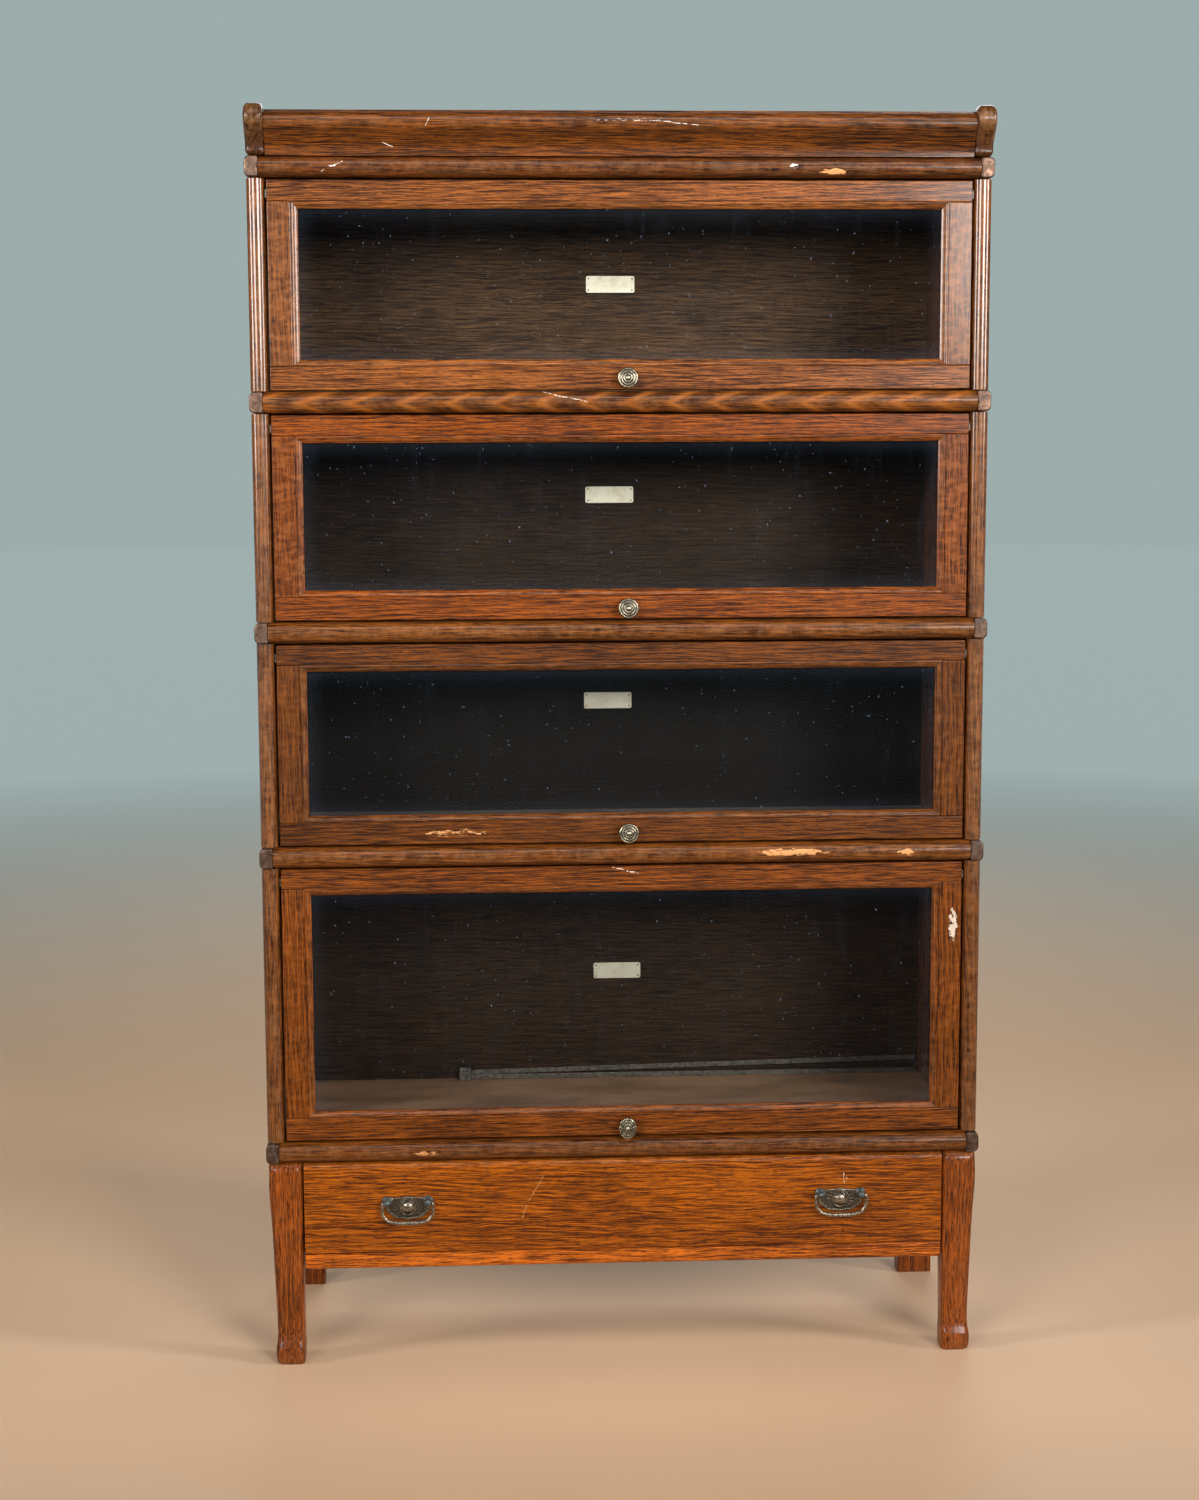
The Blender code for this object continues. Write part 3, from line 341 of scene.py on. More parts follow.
def insideOak(name, grain, dust, dustTint=None, lift=1.0, shade=1.0):
    # dull unpolished boards with dust lying on what faces up; shade is painted shade that darkens what faces
    # the doors
    look = insideLook
    dark, light = [scaled(look[key], lift) for key in ("dark", "light")]
    made = oak(name, grain, dark, light, pith=(0, 0.21, 0.17), polish=0.06, worn=0.2, contrast=0.8, wavy=1.3)
    tree = made.node_tree
    shader = tree.nodes["Principled BSDF"]
    source = shader.inputs["Base Color"].links[0].from_socket
    facing = apart(tree, addNode(tree, "ShaderNodeNewGeometry").outputs["Normal"])
    lying = remap(tree, facing[2], 0.5, 0.95)
    forward = remap(tree, facing[1], -0.8, -0.2, 1.0, 0.0)
    # painted shade: faces towards the doors are darkened towards the shadow colour by 1 - shade
    source = blendColour(tree, product(tree, forward, 1 - shade), source, rgba(look["shadow"]))
    drift = stretchedNoise(tree, objectPoint(tree), look["drift"], detail=6, roughness=0.7)
    speck = remap(tree, noise(tree, objectPoint(tree), look["specks"], detail=2), 0.64, 0.70)
    film = total(tree, product(tree, remap(tree, drift, 0.35, 0.65, 0.35, 1.0), dust),
                 product(tree, speck, look["speckInk"]))
    film = maths(tree, "MULTIPLY", film, lying, clamp=True)
    colour = blendColour(tree, film, source, rgba(dustTint or look["dust"]))
    plug(tree, shader, Base_Color=colour, Roughness=remap(tree, drift, 0.3, 0.7, 0.50, 0.72))
    return made


glassLook = {
    "haze": 0.0009, "edgeHaze": 0.010, "edgeReach": 0.0308, "edgeMargin": 0.004, "edgeCurve": 1.2,
    "drift": (5, 1, 7), "wipes": (60, 1, 9), "wipeHaze": 0.003, "speckScale": 260, "specks": 0.16,
    "dust": (0.30, 0.40, 0.58), "clear": (0.985, 0.992, 0.988, 1), "shineRoughness": 0.035, "reflects": 1.11,
}


def dustyGlass(name, node):
    # clear pane with a film of dust that thickens towards its edges and corners
    look = glassLook
    low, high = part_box(node)
    middle, half = (low + high) / 2, (high - low) / 2
    made = bpy.data.materials.new(name)
    made.use_nodes = True
    tree = made.node_tree
    tree.nodes.clear()
    point = objectPoint(tree)
    offset = apart(tree, stretched(tree, point, (1, 1, 1), -middle))
    near = []
    for axis in (0, 2):
        reach = maths(tree, "ABSOLUTE", offset[axis])
        reach = remap(tree, reach, half[axis] - look["edgeReach"], half[axis] - look["edgeMargin"])
        near.append(product(tree, reach, reach))
    edge = product(tree, maths(tree, "POWER", total(tree, *near), look["edgeCurve"]), look["edgeHaze"])
    drift = stretchedNoise(tree, point, look["drift"], detail=6, roughness=0.65)
    film = product(tree, remap(tree, drift, 0.34, 0.68, 0.3, 1.7), look["haze"])
    edge = product(tree, edge, remap(tree, drift, 0.3, 0.7, 0.5, 1.2))
    speck = remap(tree, noise(tree, point, look["speckScale"], detail=1), 0.745, 0.775)
    wiped = stretchedNoise(tree, point, look["wipes"], detail=3, distortion=1.2)
    wiped = remap(tree, wiped, 0.55, 0.75, 0, look["wipeHaze"])
    dust = maths(tree, "ADD", total(tree, film, edge, wiped), product(tree, speck, look["specks"]),
                 clamp=True)
    clear = addNode(tree, "ShaderNodeBsdfTransparent", {"Color": look["clear"]})
    shine = addNode(tree, "ShaderNodeBsdfAnisotropic", {"Color": (1, 1, 1, 1),
                                                        "Roughness": look["shineRoughness"]})
    gloss = addNode(tree, "ShaderNodeFresnel", {"IOR": look["reflects"]})
    pane = addNode(tree, "ShaderNodeMixShader", {0: gloss.outputs[0], 1: clear.outputs[0],
                                                 2: shine.outputs[0]})
    powder = addNode(tree, "ShaderNodeBsdfDiffuse", {"Color": rgba(look["dust"])})
    whole = addNode(tree, "ShaderNodeMixShader", {0: dust, 1: pane.outputs[0], 2: powder.outputs[0]})
    addNode(tree, "ShaderNodeOutputMaterial", {"Surface": whole.outputs[0]})
    return made


ivoryLook = {"clean": (0.88, 0.82, 0.66), "stained": (0.66, 0.55, 0.34), "speck": (0.20, 0.13, 0.07),
             "stainScale": 55, "speckScale": 900, "relief": 0.0002}


def ivoryPlate(name, shade=1.0):
    look = ivoryLook
    made, tree, shader = newMaterial(name, Coat_Weight=0.3, Coat_Roughness=0.25, Specular_IOR_Level=0.45)
    point = objectPoint(tree)
    stain = noise(tree, point, look["stainScale"], detail=6, roughness=0.7)
    clean, stained = [rgba(scaled(look[key], shade)) for key in ("clean", "stained")]
    colour = blendColour(tree, remap(tree, stain, 0.45, 0.75), clean, stained)
    speck = remap(tree, noise(tree, point, look["speckScale"], detail=1), 0.68, 0.74, 0.0, 0.7)
    colour = blendColour(tree, speck, colour, rgba(look["speck"]))
    plug(tree, shader, Base_Color=colour, Roughness=remap(tree, stain, 0.3, 0.7, 0.32, 0.5))
    bumpFrom(tree, shader, stain, look["relief"], 0.4)
    return made


print("materials: oak")
# dark and light stain of each part
tones = {
    "case": ((0.0165, 0.0034, 0.0004), (0.1899, 0.0547, 0.0068)),
    "cornice": ((0.0106, 0.0022, 0.0002), (0.1731, 0.0464, 0.0045)),
    "corniceRail": ((0.0074, 0.0015, 0.0001), (0.1220, 0.0312, 0.0036)),
    "bracket": ((0.0099, 0.0031, 0.0009), (0.0976, 0.0317, 0.0073)),
    "leg": ((0.0444, 0.0084, 0.0006), (0.3232, 0.0726, 0.0059)),
    "drawer": ((0.0646, 0.0116, 0.0003), (0.4277, 0.1045, 0.0028)),
    "apron": ((0.0736, 0.0137, 0.0007), (0.6764, 0.1584, 0.0112)),
    "doors": {
        1: ((0.0288, 0.0060, 0.0008), (0.2663, 0.0800, 0.0143)),
        2: ((0.0264, 0.0044, 0.0002), (0.2562, 0.0587, 0.0036)),
        3: ((0.0178, 0.0037, 0.0003), (0.1646, 0.0451, 0.0048)),
        4: ((0.0255, 0.0053, 0.0005), (0.2456, 0.0617, 0.0056)),
    },
}
bare, chalk = (0.56, 0.26, 0.10), (0.72, 0.60, 0.50)
paleScratch, crack = (0.60, 0.36, 0.16), (0.02, 0.008, 0.004)
smear, plaster = (0.60, 0.42, 0.27), (0.55, 0.44, 0.34)
# marks that each piece carries, in place on the front
marks = {
    "rail 1": [scratch((-0.10, 1.171), (-0.04, 1.158), 0.00055, chalk)],
    "rail 3": [chips((0.115, -0.16, 0.617), (0.285, -0.12, 0.634), bare, 0.9),
               chips((0.315, -0.16, 0.615), (0.365, -0.12, 0.633), bare, 0.8)],
    "rail 4": [chips((-0.30, -0.16, 0.254), (-0.18, -0.12, 0.272), bare, 0.3)],
    "cornice": [chips((-0.15, -0.17, 1.468), (0.17, -0.12, 1.484), chalk, 0.22, (200, 700, 700)),
                scratch((-0.275, 1.452), (-0.262, 1.447), 0.0005, chalk),
                scratch((-0.225, 1.468), (-0.219, 1.481), 0.00045, chalk),
                scratch((0.03, 1.476), (0.09, 1.470), 0.0005, chalk)],
    "cornice rail": [scratch((-0.345, 1.419), (-0.318, 1.431), 0.00055, chalk),
                     chips((-0.345, -0.16, 1.420), (-0.318, -0.12, 1.430), chalk, 0.1),
                     chips((0.215, -0.16, 1.414), (0.275, -0.12, 1.426), bare, 0.95),
                     chips((0.18, -0.16, 1.418), (0.22, -0.12, 1.434), chalk, 0.4)],
    "door 3": [chips((-0.30, -0.15, 0.640), (-0.10, -0.12, 0.664), bare, 0.15)],
    "door 4": [scratch((-0.016, 0.6085), (0.018, 0.6005), 0.0008, chalk),
               chips((0.386, -0.15, 0.487), (0.410, -0.12, 0.577), plaster, 0.62, (240, 200, 160))],
    "drawer": [scratch((0.2655, 0.1665), (0.2665, 0.1520), 0.0011, crack),
               chips((0.262, -0.15, 0.196), (0.276, -0.13, 0.250), smear, 0.10, (420, 300, 90)),
               scratch((-0.118, 0.198), (-0.098, 0.232), 0.0005, paleScratch),
               scratch((-0.125, 0.178), (-0.118, 0.198), 0.0005, paleScratch)],
}
oakCase = oak("case oak", "z", *tones["case"], pith=(0, -0.31, 0.16), fleck=0.2, polish=1.0)
oakRails = {i: oak(f"rail {i} oak", "x", *tones["case"], pith=(0.3 * i, -0.2, 0.16), worn=0.18,
                   marks=marks.get(f"rail {i}", ())) for i in (2, 3, 4)}
oakRails[1] = oak("rail 1 oak", "x", *tones["case"], pith=(0.0, -0.2, 0.16), worn=0.12, marks=marks["rail 1"],
                  chevrons=0.053, chevronLevel=1.157)
oakCorniceRail = oak("cornice rail oak", "x", *tones["corniceRail"], pith=(0.1, -1.30, 0.16),
                     marks=marks["cornice rail"])
oakCornice = oak("cornice oak", "x", *tones["cornice"], pith=(0.7, -1.36, 0.13), marks=marks["cornice"])
oakBracket = oak("bracket oak", "y", *tones["bracket"], pith=(0, -1.5, 0.5), worn=0.25)
oakLeg = oak("leg oak", "z", *tones["leg"], pith=(0, -0.31, 0.19), worn=0.18)
oakDrawer = oak("drawer oak", "x", *tones["drawer"], pith=(0, -0.12, 0.21), wavy=1.6, contrast=1.15,
                spacing=0.8, marks=marks["drawer"])
oakApron = oak("apron oak", "x", *tones["apron"], pith=(0, 0.02, 0.19), wavy=1.5)
# stiles: how dark against the rails, ray fleck and polish
stileLook = {1: (0.72, 0.42, 0.6), 2: (0.72, 0.42, 0.35), 3: (0.92, 0.2, 0.35), 4: (0.92, 0.2, 0.35)}
oakDoorRails, oakStiles = {}, {}
for i, (dark, light) in tones["doors"].items():
    worn = marks.get(f"door {i}", ())
    shade, fleck, polish = stileLook[i]
    oakDoorRails[i] = oak(f"door {i} rail oak", "x", dark, light, pith=(0.2 * i, 0.11 * i - 1.6, 0.19),
                          marks=worn)
    oakStiles[i] = oak(f"door {i} stile oak", "z", scaled(dark, shade), scaled(light, shade),
                       pith=(0.3 * i, 0.55, 0.16), marks=worn, fleck=fleck, polish=polish)
# painted shade inside each section: 1 leaves the back panel as it is, lower values paint it darker
backPaintedShade = {1: 1.0, 2: 0.32, 3: 0.06, 4: 0.36}
floorDust = {1: None, 2: None, 3: None, 4: (0.38, 0.225, 0.135)}
oakBacks = {i: insideOak(f"back panel {i} oak", "x", 0.5, shade=shade) for i, shade in backPaintedShade.items()}
oakFloors = {i: insideOak(f"dusty floor {i} oak", "x", 0.85, tint, 1.3) for i, tint in floorDust.items()}
oakHidden = insideOak("plain inside oak", "y", 0.5, lift=1.6)
oakTop = insideOak("dusty top oak", "x", 0.45, lift=2.2)

print("materials: metal, glass and plates")
bandMetal = metal("oxidised copper", (0.050, 0.027, 0.018), (0.130, 0.078, 0.055), 0.42, 0.55,
                  (0.050, 0.036, 0.030), scale=70, worn=0.5, bright=(0.26, 0.165, 0.12))
knobMetal = metal("worn nickel", (0.080, 0.064, 0.040), (0.400, 0.345, 0.245), 0.34, 0.20,
                  (0.060, 0.046, 0.028), scale=260, worn=0.75, bright=(0.46, 0.42, 0.33), relief=0.00003,
                  hollowShade=1.0)
bronze = metal("blackened bronze", (0.022, 0.019, 0.016), (0.150, 0.118, 0.080), 0.34, 0.30,
               (0.030, 0.030, 0.027), scale=230, worn=0.9, bright=(0.62, 0.55, 0.43), relief=0.00005,
               hollowShade=0.5)
verdigris = metal("green bronze", (0.030, 0.034, 0.034), (0.13, 0.14, 0.13), 0.36, 0.55,
                  (0.075, 0.115, 0.130), scale=330, worn=0.7, bright=(0.40, 0.38, 0.32), relief=0.00006)
dullSteel = metal("dull steel", (0.060, 0.055, 0.048), (0.19, 0.175, 0.15), 0.45, 0.30,
                  (0.050, 0.032, 0.022), scale=120, worn=0.4)
brass = metal("pin brass", (0.10, 0.07, 0.035), (0.26, 0.19, 0.09), 0.35, 0.35, (0.05, 0.035, 0.02),
              scale=500)
ivoryShades = {1: 0.95, 2: 0.9, 3: 0.9, 4: 0.5}
ivories = {i: ivoryPlate(f"aged ivory {i}", shade) for i, shade in ivoryShades.items()}


# mesh helpers
def place(axis, along, a, b):
    return {"x": (along, a, b), "y": (a, along, b), "z": (a, b, along)}[axis]


def wearLayer(bm):
    return bm.verts.layers.float.get("wear") or bm.verts.layers.float.new("wear")


def sweep(bm, outline, axis, start, end, wear=None, mitre=None):
    # a closed outline along an axis; mitre(a, b) draws each end in, wear(a, b) is how rubbed it is
    layer = wearLayer(bm)
    loops = []
    for stop, way in ((start, 1), (end, -1)):
        loop = []
        for a, b in outline:
            vert = bm.verts.new(place(axis, stop + (way * mitre(a, b) if mitre else 0), a, b))
            vert[layer] = wear(a, b) if wear else 0.0
            loop.append(vert)
        loops.append(loop)
    count = len(outline)
    for i in range(count):
        j = (i + 1) % count
        bm.faces.new((loops[0][j], loops[0][i], loops[1][i], loops[1][j]))
    bm.faces.new(loops[0])
    bm.faces.new(reversed(loops[1]))


def addBox(bm, low, high):
    corners = [(low[0], low[1]), (high[0], low[1]), (high[0], high[1]), (low[0], high[1])]
    sweep(bm, corners, "z", low[2], high[2])


def loft(bm, loops, wear=None, closed=True):
    # wear(i, j) for the jth point of the ith loop
    layer = wearLayer(bm)
    rings = []
    for i, loop in enumerate(loops):
        ring = []
        for j, point in enumerate(loop):
            vert = bm.verts.new(point)
            vert[layer] = wear(i, j) if wear else 0.0
            ring.append(vert)
        rings.append(ring)
    for low, high in zip(rings, rings[1:]):
        for j in range(len(low)):
            k = (j + 1) % len(low)
            bm.faces.new((low[j], low[k], high[k], high[j]))
    if closed:
        bm.faces.new(rings[0])
        bm.faces.new(rings[-1])


def turned(bm, profile, centre, axis, count=48, squeeze=(1, 1), flute=None, wear=None):
    # (along, radius) stations round an axis; flute(station, angle) scales the radius
    loops = []
    for i, (along, radius) in enumerate(profile):
        loop = []
        for j in range(count):
            angle = 2 * pi * j / count
            r = radius * (flute(i, angle) if flute else 1)
            offset = place(axis, along, r * cos(angle) * squeeze[0], r * sin(angle) * squeeze[1])
            loop.append(Vector(centre) + Vector(offset))
        loops.append(loop)
    loft(bm, loops, wear)


def arc(centre, radius, start, end, steps, squash=1.0):
    points = []
    for i in range(steps + 1):
        angle = radians(start + (end - start) * i / steps)
        points.append((centre[0] + radius * cos(angle), centre[1] + radius * squash * sin(angle)))
    return points


def smoothPath(points, steps):
    # a Catmull-Rom curve through points of any size
    points = [Vector(p) for p in points]
    ends = [points[0] * 2 - points[1]] + points + [points[-1] * 2 - points[-2]]
    path = []
    for a, b, c, d in zip(ends, ends[1:], ends[2:], ends[3:]):
        for i in range(steps):
            t = i / steps
            path.append(0.5 * (2 * b + (c - a) * t + (2 * a - 5 * b + 4 * c - d) * t * t
                               + (3 * b - a - 3 * c + d) * t * t * t))
    return path + [points[-1]]


def tube(bm, path, radii, count=14, wear=None):
    # a round bar along a path, its frame carried from point to point
    loops = []
    side = Vector((0, 1, 0))
    for i, point in enumerate(path):
        ahead = (path[min(i + 1, len(path) - 1)] - path[max(i - 1, 0)]).normalized()
        side = (side - ahead * side.dot(ahead)).normalized()
        up = ahead.cross(side)
        ring = [2 * pi * j / count for j in range(count)]
        loops.append([point + (side * cos(a) + up * sin(a)) * radii[i] for a in ring])
    loft(bm, loops, wear)


def roundedPlan(x, y, radius, steps=6):
    points = []
    for cx, cy, start in ((x[1] - radius, y[0] + radius, -90), (x[1] - radius, y[1] - radius, 0),
                          (x[0] + radius, y[1] - radius, 90), (x[0] + radius, y[0] + radius, 180)):
        points += arc((cx, cy), radius, start, start + 90, steps)
    return points


def meshObject(name, bm, material, smoothUnder=38):
    bmesh.ops.recalc_face_normals(bm, faces=bm.faces)
    mesh = bpy.data.meshes.new(name)
    bm.to_mesh(mesh)
    bm.free()
    mesh.materials.append(material)
    mesh.shade_smooth()
    mesh.set_sharp_from_angle(angle=radians(smoothUnder))
    made = bpy.data.objects.new(name, mesh)
    bpy.context.collection.objects.link(made)
    return made


def soften(piece, width, segments=2, angle=40):
    # eased edges
    bevel = piece.modifiers.new("eased edges", "BEVEL")
    bevel.width, bevel.segments = width, segments
    bevel.limit_method, bevel.angle_limit = "ANGLE", radians(angle)
    bevel.harden_normals = True


def settle(piece):
    # what the modifiers make becomes the piece's own mesh
    evaluated = piece.evaluated_get(bpy.context.evaluated_depsgraph_get())
    mesh = bpy.data.meshes.new_from_object(evaluated)
    piece.modifiers.clear()
    piece.data = mesh


def carve(piece, tools):
    # cut closed tools out of a piece
    for bm in tools:
        tool = meshObject("carving tool", bm, piece.data.materials[0])
        cutting = piece.modifiers.new("cut", "BOOLEAN")
        cutting.operation, cutting.solver, cutting.object = "DIFFERENCE", "EXACT", tool
        settle(piece)
        bpy.data.objects.remove(tool, do_unlink=True)
    piece.data.set_sharp_from_angle(angle=radians(38))


def finishPiece(piece, body, slotName, *replaced):
    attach(piece, body)
    if replaced:
        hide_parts(*replaced)
    return piece


def mirrored(side, outline):
    return [(side * x, other) for x, other in outline]


# fasteners by Geometry Nodes: a head on each vertex of the host, facing along an axis
def fastenerTree(name, slotted, facing):
    tree = bpy.data.node_groups.new(name, "GeometryNodeTree")
    face = tree.interface
    face.new_socket("Places", in_out="INPUT", socket_type="NodeSocketGeometry")
    for label in ("Head Radius", "Head Height", "Slot Width"):
        face.new_socket(label, in_out="INPUT", socket_type="NodeSocketFloat")
    face.new_socket("Finish", in_out="INPUT", socket_type="NodeSocketMaterial")
    face.new_socket("Heads", in_out="OUTPUT", socket_type="NodeSocketGeometry")
    given = tree.nodes.new("NodeGroupInput").outputs
    ball = addNode(tree, "GeometryNodeMeshUVSphere", {"Segments": 14, "Rings": 8, "Radius": 1.0})
    head = ball.outputs["Mesh"]
    size = together(tree, given["Head Radius"], given["Head Radius"], given["Head Height"])
    head = addNode(tree, "GeometryNodeTransform", {"Geometry": head, "Scale": size}).outputs[0]
    if slotted:
        bar = together(tree, product(tree, given["Head Radius"], 3.0), given["Slot Width"],
                       given["Head Height"])
        cutter = addNode(tree, "GeometryNodeMeshCube", {"Size": bar}).outputs["Mesh"]
        lift = together(tree, z=given["Head Height"])
        cutter = addNode(tree, "GeometryNodeTransform", {"Geometry": cutter, "Translation": lift}).outputs[0]
        head = addNode(tree, "GeometryNodeMeshBoolean", {"Mesh 1": head, "Mesh 2": cutter},
                       operation="DIFFERENCE", solver="EXACT").outputs["Mesh"]
    dots = addNode(tree, "GeometryNodeMeshToPoints", {"Mesh": given["Places"]}).outputs[0]
    spin = addNode(tree, "FunctionNodeRandomValue", {"Seed": 7}, data_type="FLOAT")
    spin.inputs[3].default_value = pi
    angle = spin.outputs[1]
    aside = together(tree, x=maths(tree, "COSINE", angle), z=maths(tree, "SINE", angle))
    turn = addNode(tree, "FunctionNodeAxesToRotation", {"Primary Axis": facing, "Secondary Axis": aside},
                   primary_axis="Z", secondary_axis="X").outputs[0]
    heads = addNode(tree, "GeometryNodeInstanceOnPoints", {
        "Points": dots, "Instance": head, "Rotation": turn}).outputs[0]
    solid = addNode(tree, "GeometryNodeRealizeInstances", {"Geometry": heads}).outputs[0]
    shaded = addNode(tree, "GeometryNodeSetShadeSmooth", {"Geometry": solid}).outputs[0]
    done = addNode(tree, "GeometryNodeSetMaterial", {"Geometry": shaded,
                                                     "Material": given["Finish"]}).outputs[0]
    tree.links.new(done, tree.nodes.new("NodeGroupOutput").inputs["Heads"])
    return tree


def fasteners(name, tree, places, material, radius, height, slotWidth=0.0006):
    mesh = bpy.data.meshes.new(name)
    mesh.from_pydata([tuple(p) for p in places], [], [])
    piece = bpy.data.objects.new(name, mesh)
    bpy.context.collection.objects.link(piece)
    maker = piece.modifiers.new(name, "NODES")
    maker.node_group = tree
    sizes = {"Head Radius": radius, "Head Height": height, "Slot Width": slotWidth, "Finish": material}
    for socket in tree.interface.items_tree:
        if socket.in_out == "INPUT" and socket.name in sizes:
            maker[socket.identifier] = sizes[socket.name]
    settle(piece)
    return piece


frontPins = fastenerTree("domed pins", False, (0, -1, 0))
backScrews = fastenerTree("slotted screws", True, (0, 1, 0))
topScrews = fastenerTree("lid screws", True, (0, 0, 1))

print("side boards and metal bands")
sideBoard = {"postSetback": 0.006, "bandProud": 0.001, "noseSteps": 28, "grooveHeight": 0.007,
             "grooveDepth": 0.006, "grooveSteps": 10, "eased": 0.0007, "wearReach": 0.004}
metalBand = {"edge": 0.0065, "steps": 8, "eased": 0.0022, "sideWear": 0.35}


def addBand(name, side, inner, outer, low, high, front, back):
    # a rounded strip along the side that turns forward at the joint
    edge = metalBand["edge"]
    reach = outer - edge
    outline = ([(inner, low)] + arc((reach, low + edge), edge, -90, 0, metalBand["steps"])
               + arc((reach, high - edge), edge, 0, 90, metalBand["steps"]) + [(inner, high)])
    bm = bmesh.new()
    points = mirrored(side, outline)
    sweep(bm, points, "y", front, back, wear=lambda x, z: 1.0 if abs(x) > reach else metalBand["sideWear"])
    piece = meshObject(name, bm, bandMetal)
    soften(piece, metalBand["eased"], 4, 60)
    return finishPiece(piece, "case", "band_copper")


def sideBoardPiece(number, word, side):
    node = f"section_{number}_side_{word}"
    low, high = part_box(node)
    railLow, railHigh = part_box(f"section_{number}_front_rail")
    outer = max(abs(low.x), abs(high.x)) - sideBoard["bandProud"]
    inner = min(abs(low.x), abs(high.x))
    bandInner = railHigh.x + hair
    front = low.y + sideBoard["postSetback"]
    radius = (outer - inner) / 2
    foot = railHigh.z + hair
    plan = (arc((outer - radius, front + radius), radius, 180, 360, sideBoard["noseSteps"])
            + [(outer, high.y), (inner, high.y)])
    bm = bmesh.new()
    sweep(bm, mirrored(side, plan), "z", foot, high.z,
          wear=lambda x, y: max(0.0, 1 - (y - front) / sideBoard["wearReach"]))
    near, far = sorted((side * inner, side * (bandInner - hair)))
    addBox(bm, (near, railHigh.y + hair * 3, low.z), (far, high.y, foot - hair))
    board = meshObject(node + "_board", bm, oakCase)

    hinge, slide = joints[f"door_{number}_hinge"], joints[f"door_{number}_slide"]
    pinY, pinZ = hinge["pos_m"][1], hinge["pos_m"][2]
    half, depth, steps = sideBoard["grooveHeight"] / 2, sideBoard["grooveDepth"], sideBoard["grooveSteps"]
    stadium = (arc((pinY + slide["range_m"][1], pinZ), half, -90, 90, steps)
               + arc((pinY, pinZ), half, 90, 270, steps))
    tool = bmesh.new()
    sweep(tool, stadium, "x", *sorted((side * (inner - depth), side * (inner + depth))))
    carve(board, [tool])
    soften(board, sideBoard["eased"], 2, 50)
    finishPiece(board, "case", "oak_case", node)
    addBand(f"section_{number}_band_{word}", side, bandInner, max(abs(low.x), abs(high.x)), railLow.z,
            railHigh.z, railLow.y, high.y)


for number in sections:
    for word, side in sides.items():
        sideBoardPiece(number, word, side)

print("front rails and cornice")
railLook = {"steps": 28, "wear": 0.8, "wearReach": 0.006}


def bullnose(name, node, material):
    low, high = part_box(node)
    radius = (high.z - low.z) / 2
    middle = (low.z + high.z) / 2
    outline = arc((low.y + radius, middle), radius, 90, 270, railLook["steps"])
    outline += [(high.y, low.z), (high.y, high.z)]
    bm = bmesh.new()
    sweep(bm, outline, "x", low.x, high.x,
          wear=lambda y, z: max(0.0, railLook["wear"] - (y - low.y) / railLook["wearReach"]))
    finishPiece(meshObject(name, bm, material), "case", "oak_rail", node)


for number in sections:
    bullnose(f"section_{number}_bullnose", f"section_{number}_front_rail", oakRails[number])
bullnose("cornice_bullnose", "cornice_rail", oakCorniceRail)

cornice = {"cushion": 0.0125, "cushionDrop": 0.002, "proud": 0.016, "quirk": 0.003, "steps": 22,
           "nose": 0.016, "noseArc": (62, 215), "shoulder": 0.012, "neckRise": 0.012, "neckBack": 0.020,
           "noseSteps": 24, "eased": 0.0062, "bandInset": 0.0015, "wear": 0.6, "wearReach": 0.006,
           "noseWear": 0.02}


def corniceMoulding():
    # a cushion that runs down into a cove
    low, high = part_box("cornice_moulding")
    front, swell = low.y, cornice["cushion"]
    cushion = arc((front + swell, high.z - cornice["cushionDrop"] - swell), swell, 90, 225, cornice["steps"])
    (startY, startZ), endZ = cushion[-1], low.z + cornice["quirk"]
    depth = front + cornice["proud"] - startY
    cove = [(startY + depth * (1 - (1 - t) ** 2), startZ + (endZ - startZ) * t)
            for t in [i / cornice["steps"] for i in range(1, cornice["steps"] + 1)]]
    outline = [(front + swell, high.z)] + cushion + cove
    outline += [(cove[-1][0], low.z), (high.y, low.z), (high.y, high.z)]
    bm = bmesh.new()
    sweep(bm, outline, "x", low.x, high.x,
          wear=lambda y, z: max(0.0, cornice["wear"] - (y - front) / cornice["wearReach"]))
    piece = meshObject("cornice_profile", bm, oakCornice, 50)
    finishPiece(piece, "case", "oak_rail", "cornice_moulding")


def corniceBracket(word, side):
    # the end of the cornice: a scroll nose over a plain board
    low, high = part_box(f"cornice_bracket_{word}")
    mouldLow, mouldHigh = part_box("cornice_moulding")
    railLow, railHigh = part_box("cornice_rail")
    inner, outer = mouldHigh.x + hair, max(abs(low.x), abs(high.x)) - cornice["bandInset"]
    nose = cornice["nose"]
    centre = (low.y + nose, high.z - nose)
    neck = low.y + cornice["neckBack"]
    outline = ([(centre[0] + nose + cornice["shoulder"], mouldHigh.z)]
               + arc(centre, nose, *cornice["noseArc"], cornice["noseSteps"])
               + [(neck, mouldLow.z + cornice["neckRise"]), (neck, mouldLow.z),
                  (high.y, mouldLow.z), (high.y, mouldHigh.z)])
    bm = bmesh.new()
    sweep(bm, outline, "x", *sorted((side * inner, side * outer)),
          wear=lambda y, z: max(0.0, 1 - (y - low.y) / cornice["noseWear"]))
    piece = meshObject(f"cornice_end_{word}", bm, oakBracket, 50)
    soften(piece, cornice["eased"], 5, 60)
    finishPiece(piece, "case", "oak_rail", f"cornice_bracket_{word}")
    addBand(f"cornice_band_{word}", side, railHigh.x + hair, max(abs(low.x), abs(high.x)), railLow.z,
            mouldLow.z - hair, railLow.y, high.y)


corniceMoulding()
for word, side in sides.items():
    corniceBracket(word, side)

print("doors")
doorLook = {"stile": 0.027, "topRail": 0.024, "bottomRail": 0.027, "bead": 0.008, "beadDrop": 0.0042,
            "beadBack": 0.0075, "beadStart": 0.0010, "beadCurve": 1.4, "beadSteps": 12, "rabbet": 0.0035,
            "eased": 0.0013, "quirk": 0.0010, "rubbedBead": (0.002, 0.006), "beadWear": (0.7, 0.1)}


